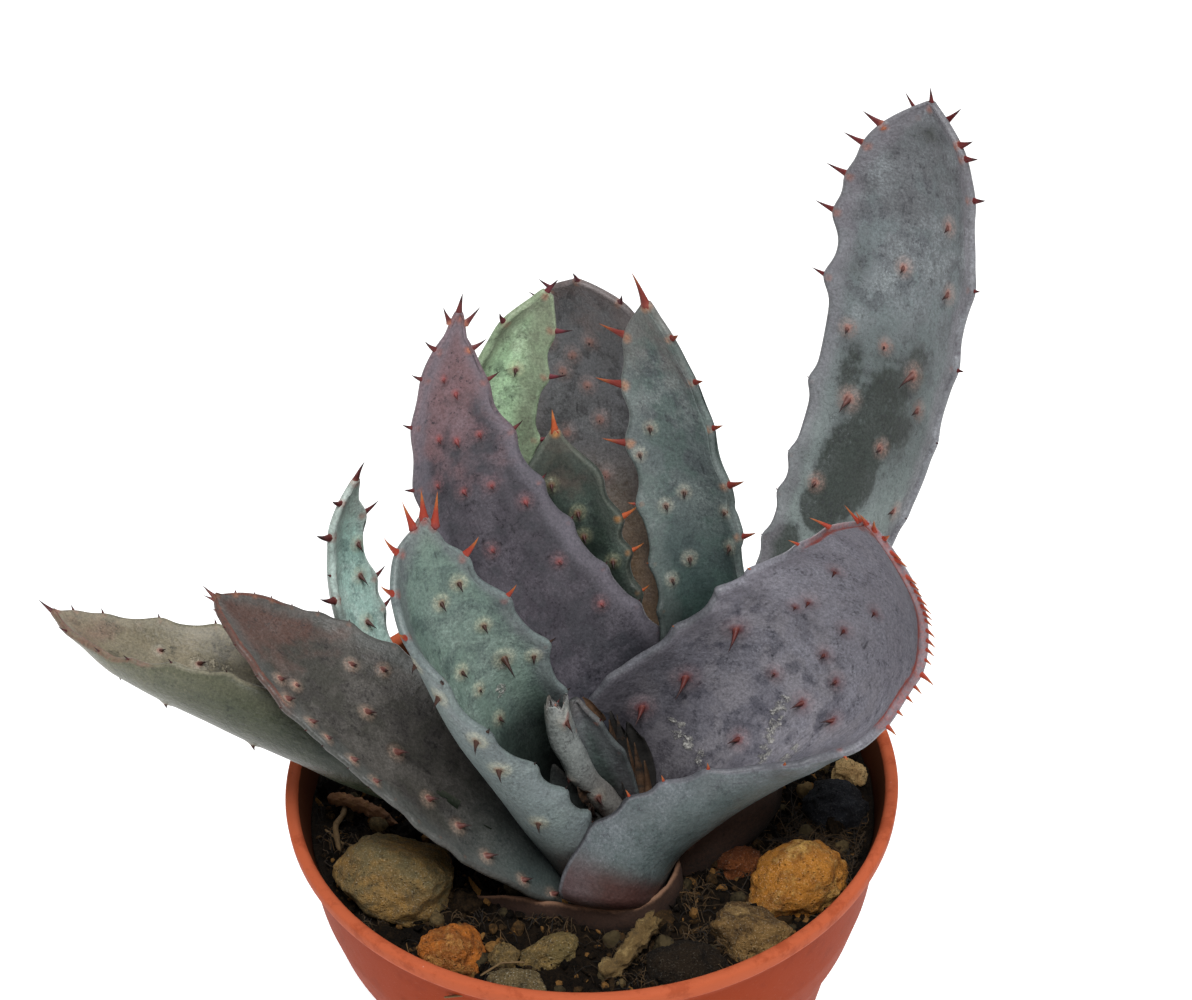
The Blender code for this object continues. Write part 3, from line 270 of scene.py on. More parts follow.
SKINS = {
    "leaf_tall": dict(
        main=(0.150, 0.176, 0.186), second=(0.140, 0.134, 0.160), bloom=(0.38, 0.42, 0.44), dusting=0.62,
        under=(0.11, 0.12, 0.115), tip=(0.085, 0.082, 0.086), tip_share=0.6, tip_start=0.8,
        foot=(0.34, 0.41, 0.38), foot_share=0.85, foot_end=0.98, recess=0.2, dots=0.7,
        patch=(0.027, 0.033, 0.024), streaks=0.35, ring=(0.40, 0.27, 0.23), halo=(0.42, 0.19, 0.15),
        border=(0.24, 0.22, 0.25), border_share=0.5,
        thorn=((0.50, 0.17, 0.09), (0.13, 0.014, 0.015), (0.05, 0.01, 0.012)),
        prickle=((0.36, 0.19, 0.15), (0.15, 0.06, 0.05), (0.025, 0.01, 0.01)),
        patches=((0.685, 0.0, 9.0, 7.4, 0.72), (0.715, -0.55, 4.6, 3.0, 0.66), (0.74, 0.3, 5.0, 3.4, 0.66),
                 (0.610, -0.25, 6.0, 4.4, 1.2), (0.56, -0.42, 3.4, 3.0, 1.2), (0.47, -0.75, 5.0, 3.0, 1.2),
                 (0.58, -0.85, 6.0, 1.4, 0.5), (0.83, -0.75, 4.0, 2.4, 0.5), (0.97, 0.0, 1.0, 3.0, 0.5))),
    # The spoon's near-black foot is painted shade in the hollow of its inner face.
    "leaf_spoon": dict(
        main=(0.222, 0.212, 0.236), second=(0.112, 0.110, 0.138), share=0.6, bloom=(0.40, 0.40, 0.45),
        dusting=0.42, under=(0.056, 0.088, 0.082), foot=(0.022, 0.018, 0.022), foot_share=0.95,
        foot_end=0.5, recess=0.7, under_foot=(0.085, 0.0), under_base=(0.062, 0.026, 0.022),
        blush=(0.26, 0.040, 0.024), blush_from=(0.86, 0.66, 0.45), tip=(0.27, 0.26, 0.30), tip_share=0.6,
        tip_start=0.6, streaks=0.35, dots=0.6, halo=(0.16, 0.052, 0.055), ring=(0.22, 0.15, 0.16),
        glow=(0.30, 0.07, 0.04), border=(0.21, 0.20, 0.23), border_share=0.5,
        thorn=((0.50, 0.13, 0.07), (0.36, 0.04, 0.016), (0.42, 0.12, 0.03)),
        prickle=((0.22, 0.07, 0.06), (0.11, 0.022, 0.018), (0.035, 0.010, 0.010)),
        scars=(((0.53, -0.07), (0.50, -0.04), (0.475, 0.03), (0.45, 0.08), (0.427, 0.2), (0.40, 0.27)),
               ((0.50, 0.36), (0.47, 0.42), (0.455, 0.43), (0.415, 0.43), (0.415, 0.58), (0.44, 0.8)),
               ((0.33, -0.48), (0.315, -0.38), (0.32, -0.27), (0.315, -0.1)))),
    "leaf_front": dict(
        main=(0.130, 0.192, 0.160), second=(0.104, 0.160, 0.142), bloom=(0.38, 0.47, 0.41), dusting=0.42,
        under=(0.170, 0.205, 0.212), foot=(0.016, 0.028, 0.023), foot_share=0.95, foot_end=0.55,
        recess=0.85, tip=(0.20, 0.20, 0.18), halo=(0.20, 0.13, 0.08), ring=(0.50, 0.48, 0.34),
        glow=(0.30, 0.09, 0.075), thorn=((0.24, 0.045, 0.04), (0.34, 0.04, 0.02), (0.42, 0.12, 0.03)),
        prickle=((0.26, 0.15, 0.09), (0.050, 0.020, 0.012), (0.014, 0.007, 0.006)),
        border=(0.135, 0.14, 0.155), border_share=0.6,
        scars=(((0.56, 0.32), (0.555, 0.4)), ((0.63, 0.5), (0.61, 0.52)))),
    "leaf_low": dict(
        main=(0.045, 0.043, 0.036), second=(0.074, 0.066, 0.060), bloom=(0.20, 0.185, 0.17), dusting=0.38,
        under=(0.060, 0.062, 0.054), tip=(0.085, 0.036, 0.026), tip_share=0.8, tip_start=0.74, dots=0.8,
        foot=(0.075, 0.108, 0.105), foot_end=0.45, blush=(0.13, 0.045, 0.030), blush_from=(0.70, 0.84, 0.5),
        halo=(0.42, 0.22, 0.16), ring=(0.34, 0.24, 0.18), glow=(0.28, 0.12, 0.07),
        border=(0.088, 0.095, 0.090), border_share=0.6,
        thorn=((0.50, 0.32, 0.24), (0.16, 0.045, 0.035), (0.05, 0.012, 0.012)),
        prickle=((0.52, 0.32, 0.24), (0.14, 0.045, 0.035), (0.03, 0.010, 0.010))),
    "leaf_left": dict(
        main=(0.170, 0.145, 0.095), second=(0.100, 0.094, 0.062), bloom=(0.38, 0.33, 0.23),
        under=(0.088, 0.100, 0.058), under_base=(0.008, 0.016, 0.007), under_foot=(1.0, 0.0),
        tip=(0.22, 0.12, 0.09), tip_share=0.5, foot=(0.032, 0.036, 0.022), foot_share=1.0, foot_end=0.6,
        blush=(0.15, 0.045, 0.035), blush_from=(0.74, 0.95, 0.7), halo=(0.25, 0.12, 0.09),
        glow=(0.28, 0.11, 0.08), dots=0.7, scar=(0.34, 0.30, 0.22), border=(0.26, 0.24, 0.18),
        thorn=((0.30, 0.11, 0.08), (0.09, 0.02, 0.02), (0.022, 0.008, 0.01)),
        scars=(((0.77, 0.48), (0.73, 0.49), (0.695, 0.50)), ((0.56, 0.1), (0.505, -0.22)))),
    "leaf_narrow": dict(
        main=(0.40, 0.60, 0.54), second=(0.22, 0.38, 0.33), bloom=(0.68, 0.80, 0.75), dusting=0.6,
        recess=0.3, under=(0.26, 0.36, 0.32), foot=(0.05, 0.09, 0.07), foot_end=0.5,
        ring=(0.40, 0.36, 0.24), rim_share=0.25, rim=(0.55, 0.58, 0.55), border=(0.42, 0.48, 0.45),
        thorn=((0.40, 0.15, 0.10), (0.12, 0.022, 0.022), (0.03, 0.008, 0.01))),
    "leaf_broad": dict(
        main=(0.046, 0.045, 0.053), second=(0.074, 0.064, 0.077), share=0.6, bloom=(0.19, 0.17, 0.20),
        dusting=0.4, under=(0.08, 0.08, 0.09), tip=(0.22, 0.115, 0.12), tip_share=0.7, tip_start=0.78,
        foot=(0.016, 0.020, 0.027), foot_share=0.9, foot_end=0.55, streaks=0.8, dots=0.9, recess=0.75,
        halo=(0.24, 0.085, 0.085), ring=(0.18, 0.105, 0.115), glow=(0.34, 0.12, 0.09),
        border=(0.180, 0.165, 0.195), border_share=0.6,
        thorn=((0.50, 0.20, 0.13), (0.13, 0.025, 0.025), (0.03, 0.008, 0.01)),
        prickle=((0.42, 0.15, 0.14), (0.26, 0.06, 0.06), (0.09, 0.02, 0.02))),
    "leaf_green": dict(
        main=(0.40, 0.60, 0.36), second=(0.25, 0.38, 0.22), bloom=(0.56, 0.72, 0.52),
        border=(0.16, 0.17, 0.12), border_share=0.7, dusting=0.45, recess=0.3, under=(0.30, 0.42, 0.25),
        foot=(0.12, 0.18, 0.12), ring=(0.44, 0.42, 0.26), dots=0.8,
        thorn=((0.42, 0.17, 0.11), (0.14, 0.02, 0.03), (0.03, 0.008, 0.01))),
    "leaf_back": dict(
        main=(0.105, 0.104, 0.112), second=(0.068, 0.064, 0.066), bloom=(0.24, 0.25, 0.26), dusting=0.38,
        under=(0.11, 0.115, 0.11), foot=(0.40, 0.235, 0.105), foot_share=0.9, foot_end=0.68, recess=0.2,
        halo=(0.24, 0.12, 0.10), ring=(0.21, 0.15, 0.14), glow=(0.34, 0.14, 0.07),
        border=(0.15, 0.13, 0.13), thorn=((0.60, 0.20, 0.10), (0.12, 0.03, 0.04), (0.03, 0.008, 0.01))),
    "leaf_right": dict(
        main=(0.085, 0.120, 0.112), second=(0.118, 0.128, 0.140), bloom=(0.34, 0.39, 0.37), dusting=0.46,
        under=(0.085, 0.11, 0.10), foot=(0.016, 0.042, 0.035), foot_share=0.95, foot_end=0.9, streaks=0.3,
        halo=(0.20, 0.11, 0.08), ring=(0.36, 0.35, 0.28), recess=0.8, glow=(0.44, 0.20, 0.10),
        border=(0.17, 0.20, 0.19), thorn=((0.30, 0.07, 0.05), (0.20, 0.028, 0.020), (0.30, 0.075, 0.02)),
        prickle=((0.26, 0.15, 0.09), (0.050, 0.020, 0.012), (0.014, 0.007, 0.006))),
    "leaf_inner": dict(
        main=(0.017, 0.028, 0.021), second=(0.028, 0.044, 0.036), bloom=(0.14, 0.19, 0.155), dusting=0.35,
        under=(0.10, 0.14, 0.12), foot=(0.020, 0.028, 0.024), rim=(0.20, 0.22, 0.18), rim_share=0.3,
        halo=(0.16, 0.09, 0.05), ring=(0.26, 0.26, 0.16), glow=(0.50, 0.22, 0.06),
        border=(0.095, 0.11, 0.095), thorn=((0.25, 0.03, 0.02), (0.50, 0.10, 0.03), (0.60, 0.20, 0.06))),
    "leaf_stub": dict(
        main=(0.25, 0.28, 0.27), second=(0.16, 0.17, 0.175), bloom=(0.50, 0.52, 0.50), dusting=0.6,
        recess=0.2, under=(0.24, 0.265, 0.25), tip=(0.12, 0.08, 0.05), tip_share=0.9, tip_start=0.9,
        under_foot=(0.55, 0.0), under_base=(0.075, 0.048, 0.032), foot=(0.07, 0.05, 0.035), foot_end=0.5,
        dots=0.7, scars=(((0.50, 0.1), (0.46, 0.0), (0.42, 0.1)),)),
    "leaf_heart": dict(
        main=(0.060, 0.086, 0.078), second=(0.050, 0.062, 0.060), bloom=(0.20, 0.25, 0.23),
        under=(0.06, 0.08, 0.075), foot=(0.020, 0.018, 0.014), foot_end=0.6, foot_share=0.9, recess=0.3),
}


def sphere_ways(count):
    """Directions spread evenly over a sphere."""
    index = np.arange(count) + 0.5
    turn = index * math.pi * (1 + 5 ** 0.5)
    height = 1 - 2 * index / count
    level = np.sqrt(1 - height ** 2)
    return np.stack([level * np.cos(turn), level * np.sin(turn), height], axis=1)


WAYS = sphere_ways(36)


def new_mesh_object(name, points, faces, materials=(), slots=None, attributes=None, smooth=True):
    """Makes an object of points in millimetres, with its faces turned outwards."""
    mesh = bpy.data.meshes.new(name)
    mesh.from_pydata((np.asarray(points, float) * MM).tolist(), [], faces)
    if slots is not None:
        mesh.polygons.foreach_set("material_index", np.asarray(slots, np.int32))
    for key, values in (attributes or {}).items():
        layer = mesh.attributes.new(key, "FLOAT", "POINT")
        layer.data.foreach_set("value", np.asarray(values, np.float32))
    for item in materials:
        mesh.materials.append(item)
    bm = bmesh.new()
    bm.from_mesh(mesh)
    bmesh.ops.recalc_face_normals(bm, faces=bm.faces)
    bm.to_mesh(mesh)
    bm.free()
    if smooth:
        mesh.shade_smooth()
    made = bpy.data.objects.new(name, mesh)
    bpy.context.scene.collection.objects.link(made)
    return made


def settle(piece, slot, *nodes):
    """Puts a finished piece on the plant's body, in the place of the solids that it stands for."""
    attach(piece, "root")
    if nodes:
        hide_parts(*nodes)
    return piece


def ring_faces(rings, around):
    """Quads between rings of points, where each ring closes on itself."""
    rows = np.arange(rings - 1)[:, None] * around
    here = rows + np.arange(around)[None, :]
    there = rows + (np.arange(around) + 1)[None, :] % around
    return np.stack([here, there, there + around, here + around], axis=-1).reshape(-1, 4).tolist()


def fan_faces(rings, around):
    """Faces between rings of points, with a fan at each end round the two points that follow the rings."""
    count = rings * around
    last = count - around
    faces = ring_faces(rings, around)
    faces += [(k, (k + 1) % around, count) for k in range(around)]
    return faces + [(last + k, last + (k + 1) % around, count + 1) for k in range(around)]


def tube_faces(rings, around):
    """Faces between rings of points, with both ends closed."""
    last = (rings - 1) * around
    return ring_faces(rings, around) + [tuple(range(around)), tuple(last + k for k in range(around))]


class Heap:
    """Loose bits that lie on the soil as one piece, each with its own shade."""

    def __init__(self):
        self.points, self.faces, self.shade = [], [], []
        self.count = 0

    def add(self, points, faces, shade):
        self.points.append(points)
        self.faces += [tuple(self.count + k for k in face) for face in faces]
        self.shade.append(np.broadcast_to(shade, len(points)))
        self.count += len(points)

    def settle(self, name, material, slot, smooth=True):
        made = new_mesh_object(name, np.vstack(self.points), self.faces, (material,),
                               attributes={"shade": np.concatenate(self.shade)}, smooth=smooth)
        return settle(made, slot)


def noise_at(points, scale, shift):
    """Smooth noise from -1 to 1 at each point."""
    offset = Vector((shift, shift * 0.37, -shift * 0.71))
    places = np.asarray(points).reshape(-1, 3)
    return np.array([noise.noise(Vector(point) * scale + offset) for point in places])


def unit(vectors):
    return vectors / np.maximum(1e-9, np.linalg.norm(vectors, axis=-1, keepdims=True))


def smooth_step(values, low, high):
    share = np.clip((values - low) / (high - low), 0, 1)
    return share * share * (3 - 2 * share)


def through(values, t):
    """Quadratic through the values at 0, one half and 1."""
    low, middle, high = values
    return low * (1 - t) * (1 - 2 * t) + 4 * middle * t * (1 - t) + high * t * (2 * t - 1)


def outline(leaf, t):
    """Half width at t as a fraction of the widest."""
    base, widest = leaf["base_width"], leaf["widest"]
    rising = base + (1 - base) * np.sin(np.pi / 2 * np.clip(t / widest, 0, 1))
    share = np.clip((t - widest) / (1 - widest), 0, 1) ** leaf["blunt"]
    falling = np.clip(np.cos(np.pi / 2 * share), 0, 1) ** 0.8
    return np.where(t < widest, rising, falling)


def midrib(leaf, t):
    """Centre and direction of the leaf at each t."""
    a, b, c, d = (np.array(point, float) for point in leaf["midrib"])
    t = np.asarray(t, float)[:, None]
    centre = a * (1 - t) ** 3 + b * 3 * t * (1 - t) ** 2 + c * 3 * t * t * (1 - t) + d * t ** 3
    slope = (b - a) * (1 - t) ** 2 + (c - b) * 2 * t * (1 - t) + (d - c) * t * t
    return centre, unit(slope)


def leaf_length(leaf):
    centre, _ = midrib(leaf, np.linspace(0, 1, 60))
    return float(np.linalg.norm(np.diff(centre, axis=0), axis=1).sum())


def blade(leaf, t, u):
    """Points of the inner face, the way it faces and the way across it: a row for each t."""
    centre, tangent = midrib(leaf, t)
    level = np.subtract(leaf["midrib"][3], leaf["midrib"][0]) * (1, 1, 0)
    hint = np.array((0, 0, 0.8)) - unit(level)
    normal = unit(hint - tangent * (tangent @ hint)[:, None])
    side = np.cross(tangent, normal)
    turn = through(leaf["roll"], t)[:, None]
    side, normal = side * np.cos(turn) - normal * np.sin(turn), normal * np.cos(turn) + side * np.sin(turn)
    rows = t[:, None]
    sign = np.sign(u)[None, :]
    skew = leaf.get("skew", (0.0, 0.0))
    width = leaf["half_width"] * outline(leaf, rows) * (1 + (skew[0] + (skew[1] - skew[0]) * rows) * sign)
    bend = np.maximum(0.05, through(leaf["fold"], rows)) * (1 + leaf.get("bias", 0.0) * sign)
    angle = u[None, :] * bend
    across = (width * np.sin(angle) / bend)[..., None]
    rise = (width * (1 - np.cos(angle)) / bend)[..., None]
    cosine, sine = np.cos(angle)[..., None], np.sin(angle)[..., None]
    side, normal = side[:, None, :], normal[:, None, :]
    point = centre[:, None, :] + side * across + normal * rise
    return point, normal * cosine - side * sine, side * cosine + normal * sine


def thickness(leaf, t, u):
    root, tip = leaf["thick"]
    t = t[:, None]
    middle = (root + (tip - root) * t) * np.minimum(1.0, 1.5 * outline(leaf, t))
    edge = EDGE + (leaf.get("rim_edge", 0.9) - EDGE) * np.minimum(1.0, 1.6 * outline(leaf, t))
    return edge + np.maximum(0.0, middle - edge) * (1 - np.abs(u[None, :]) ** 2.5)


def tooth_size(leaf, key, t):
    """Length of a margin tooth, which grows towards the tip."""
    low, high, least = leaf.get("ramp", (0.4, 0.85, 0.32))
    share = leaf.get("sizes", {}).get((key, t), 1.0)
    return share * leaf["tooth"] * (least + (1 - least) * np.clip((t - low) / (high - low), 0, 1))


def fine_blade(leaf, t, u):
    """The inner face with its margin drawn out at each tooth, and with slow bends and waves."""
    t = np.asarray(t, float)
    u = np.asarray(u, float)
    point, facing, flank = blade(leaf, t, u)
    length = leaf_length(leaf)
    lift = np.zeros((len(t), 2))
    for column, key in enumerate(("left", "right")):
        for place in leaf[key]:
            size = tooth_size(leaf, key, place)
            near = np.exp(-((t - place) * length / (0.9 + 0.35 * size)) ** 2)
            lift[:, column] += leaf.get("lobes", 1.2) * (0.2 + 0.24 * size) * near
    for place, spread, left, right in leaf.get("trims", ()):
        lift += np.exp(-((t - place) * length / spread) ** 2)[:, None] * (left, right)
    lift -= leaf.get("inset", 0.75)
    lift = np.maximum(lift, -0.6 * leaf["half_width"] * outline(leaf, t)[:, None])
    reach = np.where(u[None, :] < 0, lift[:, :1], lift[:, 1:]) * np.abs(u)[None, :] ** 4
    point = point + flank * (reach * np.sign(u)[None, :])[..., None]
    shift = sum(map(ord, leaf["name"])) * 0.173
    steps = np.stack(np.broadcast_arrays(t[:, None] * length * 0.10, u[None, :] * 1.1, 0.0), axis=-1)
    edges = np.stack(np.broadcast_arrays(t[:, None] * length * 0.22, np.sign(u)[None, :] * 3.0, 5.0), axis=-1)
    shape = (len(t), len(u))
    sway = 0.45 * noise_at(steps, 1.0, shift).reshape(shape)
    rim = np.abs(u)[None, :] ** 3
    sway += 0.55 * leaf.get("wave", 1.0) * noise_at(edges, 1.0, shift).reshape(shape) * rim
    sway += leaf.get("bulge", 0.0) * noise_at(steps * (3.0, 1.6, 1.0), 1.0, shift + 4).reshape(shape)
    fade = smooth_step(t, 0.0, 0.15) * (1 - 0.6 * smooth_step(t, 0.9, 1.0))
    return point + facing * (sway * fade[:, None])[..., None], facing, flank


def place_on(leaf, t, u):
    """One place of the fine inner face: its point, the way it faces, the way on and its thickness."""
    spread = np.array((max(0.0, t - 0.006), t, min(1.0, t + 0.006)))
    point, facing, flank = fine_blade(leaf, spread, np.array((u,)))
    ahead = unit(point[2, 0] - point[0, 0])
    deep = float(thickness(leaf, spread[1:2], np.array((u,)))[0, 0])
    return point[1, 0], facing[1, 0], ahead, flank[1, 0], deep


def thorns_of(leaf, draw):
    """Teeth and prickles: root, way out, way it hooks, way it is widest, length, girth, kind, material."""
    found = []
    hook = leaf.get("hook", 0.25)
    for sign, key in ((-1.0, "left"), (1.0, "right")):
        for t in (*leaf[key], *leaf.get("more_" + key, ())):
            point, facing, ahead, flank, deep = place_on(leaf, min(t, LAST_TOOTH), sign)
            out = np.cross(ahead, facing)
            level = place_on(leaf, min(t, LAST_TOOTH), 0.0)[3] * sign
            side, start, flare = leaf.get("flare", ("", 2.0, 0.0))
            splay = flare if key == side and t > start else leaf.get("splay", 0.25)
            out = unit(out * np.sign(out @ (flank * sign)) * (1 - splay) + level * splay + 0.12 * ahead)
            size = tooth_size(leaf, key, t) * draw.uniform(0.9, 1.12)
            root = point - facing * deep / 2 - out * 0.2
            found.append((root, out, ahead * hook + facing * 0.08, ahead, size, 0.22 + 0.13 * size, "margin",
                          1 if t > leaf.get("dull", 0.0) else 2))
    plain = leaf.get("prickle", 1.1)
    for key in ("face", "under"):
        for t, u, *given in leaf[key]:
            point, facing, ahead, _, deep = place_on(leaf, t, u)
            size = given[0] if given else plain * draw.uniform(0.75, 1.35)
            out = facing if key == "face" else -facing
            if key == "under":
                point = point - facing * deep
                size *= 0.75
            found.append((point, unit(out - 0.3 * ahead), -ahead * 0.5, ahead, size,
                          leaf.get("stout", 1.0) * (0.38 + 0.07 * size), key, 2))
    if leaf["spine"]:
        point, facing, ahead, flank, deep = place_on(leaf, SPINE_ROOT, 0.0)
        point = point - facing * deep / 2
        found.append((point, ahead, facing * 0.12, flank, leaf["spine"], 0.26 + 0.11 * leaf["spine"],
                      "margin", 1))
        for turn, share, beside in leaf.get("crown", ()):
            way = unit(ahead * math.cos(turn) + flank * math.sin(turn))
            size = leaf["spine"] * share
            root = point + flank * beside * np.sign(turn) - ahead * 0.75 * beside
            found.append((root, way, ahead * 0.15, flank, size, 0.22 + 0.12 * size, "margin", 1))
    return found


def tree_of(item):
    """Search tree of a solid's faces, in metres."""
    mesh = item.data
    return BVHTree.FromPolygons([vert.co for vert in mesh.vertices],
                                [list(face.vertices) for face in mesh.polygons])


def tree_of_all():
    """Search tree of every solid together, in metres."""
    points = []
    faces = []
    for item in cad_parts.values():
        first = len(points)
        points += [vert.co for vert in item.data.vertices]
        faces += [[first + index for index in face.vertices] for face in item.data.polygons]
    return BVHTree.FromPolygons(points, faces)


def thorn_is_clear(thorn, trees):
    """Whether a thorn stays out of the other leaves' solids."""
    root, out, lean, _, length = thorn[:5]
    for step in (0.5, 0.8, 1.0):
        place = Vector((root + out * length * step + lean * length * step * step) * MM)
        for tree in trees:
            near, normal, _, distance = tree.find_nearest(place)
            if near is not None and (place - near).dot(normal) < 0 and distance < 2.5 * MM:
                return False
    return True


def thorn_mesh(thorn, sides=8):
    """Hooked cone with a flared foot: its points, faces and how far along each point is."""
    root, out, lean, wide, length, girth, kind, _ = thorn
    steps = np.array((-0.13, -0.05, 0.0, 0.07, 0.16, 0.28, 0.42, 0.58, 0.74, 0.88, 0.97))
    taper = np.clip(steps, 0, 1)
    radius = girth * (0.72 * (1 - taper) ** 0.9 + 0.28 * (1 - taper) ** 5)
    radius[:2] *= (0.4, 0.8)
    centre = root + out * (length * steps)[:, None] + lean * (length * steps * np.abs(steps))[:, None]
    wide = unit(wide - out * (wide @ out))
    thin = np.cross(out, wide) * (0.62 if kind == "margin" else 0.9)
    turns = np.arange(sides) * 2 * np.pi / sides
    circle = wide * np.cos(turns)[:, None] + thin * np.sin(turns)[:, None]
    points = (centre[:, None, :] + circle[None] * radius[:, None, None]).reshape(-1, 3)
    end = root + out * length + lean * length
    faces = ring_faces(len(steps), sides)
    last = (len(steps) - 1) * sides
    tip = len(points)
    faces += [(last + k, last + (k + 1) % sides, tip) for k in range(sides)]
    faces.append(tuple(range(sides))[::-1])
    return np.vstack([points, end]), faces, np.append(np.repeat(steps, sides), 1.0)


def nearness(points, places, reach):
    """For each point, 1 at the nearest place, falling off over reach millimetres."""
    if not len(places):
        return np.zeros(len(points))
    best = np.full(len(points), 1e9)
    for place, size in zip(places, reach):
        best = np.minimum(best, np.sum((points - place) ** 2, axis=1) / size ** 2)
    return np.exp(-best)


def leaf_marks(leaf, skin, t, u, points):
    """How far inside a patch, and how near to a scar, each point of the inner face is."""
    length = leaf_length(leaf)
    patch = np.zeros((len(t), len(u)))
    for at, across, half_along, half_across, strength in skin["patches"]:
        spread = leaf["half_width"] * outline(leaf, t)[:, None]
        far = np.hypot((t[:, None] - at) * length / half_along, (u[None, :] - across) * spread / half_across)
        patch = np.maximum(patch, strength * np.clip(1.5 - far, 0, 1.1))
    scars = []
    for scar in skin["scars"]:
        for (t0, u0), (t1, u1) in zip(scar, scar[1:]):
            for share in np.linspace(0, 1, 9):
                stray = 0.5 * math.sin(share * 9 + t0 * 70) / length
                scars.append(place_on(leaf, t0 + (t1 - t0) * share + stray,
                                      u0 + (u1 - u0) * share + stray * 3)[0])
    sizes = [0.34 + 0.16 * math.sin(k * 2.1) for k in range(len(scars))]
    scar = nearness(points.reshape(-1, 3), scars, sizes).reshape(len(t), len(u))
    return patch, scar


def shelter_of(points, facing, tree, ways):
    """How closed in each place is by the leaves round it: 0 in the open, 1 in a hollow."""
    closed = []
    for point, out in zip(points.reshape(-1, 3), facing.reshape(-1, 3)):
        weights = ways @ out
        hit = 0.0
        for way, weight in zip(ways, weights):
            if weight <= 0.1:
                continue
            start = Vector((point + out * 0.5) * MM)
            _, _, _, distance = tree.ray_cast(start, Vector(way), SHELTER_REACH * MM)
            if distance is not None and distance < 2 * MM:
                start += Vector(way) * (distance + 0.05 * MM)
                _, _, _, distance = tree.ray_cast(start, Vector(way), SECOND_REACH * MM)
            if distance is not None:
                hit += weight
        closed.append(hit / weights[weights > 0.1].sum())
    return np.array(closed).reshape(points.shape[:2])


def foot_of(t, u, end, lean):
    """How far into the base's colour each place is: partly the base's own colour and partly painted shade.
    Lean makes it reach less far at the margins.
    """
    reach = t[:, None] + lean * np.abs(u[None, :]) ** 2
    return smooth_step(-reach, -end, -0.3 * end)


def spread_out(coarse, t_from, u_from, t, u):
    """Values of a coarse grid at the fine grid's places."""
    rows = np.array([np.interp(t, t_from, column) for column in coarse.T]).T
    return np.array([np.interp(u, u_from, row) for row in rows])


def blush_of(skin, values):
    """How red each point of the rim is: each side starts at its own place along the leaf."""
    left, right, width = skin["blush_from"]
    start = np.where(values["across"] < 0, left, right)
    late = smooth_step(values["along"] - start, 0.0, 0.07)
    return late * smooth_step(-values["inset"], -width, -0.3 * width) * (1 - 0.75 * values["under"])


def faces_in_place(name, points, faces, last):
    """The faces up to the last that lie near the leaf's own solid, and all those after it."""
    tree = tree_of(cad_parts[name])
    kept = []
    for face in faces[:last]:
        place = Vector(points[list(face)].mean(axis=0) * MM)
        near, normal, _, distance = tree.find_nearest(place)
        if distance < STRAY * MM or (place - near).dot(normal) < 0:
            kept.append(face)
    return kept + faces[last:]


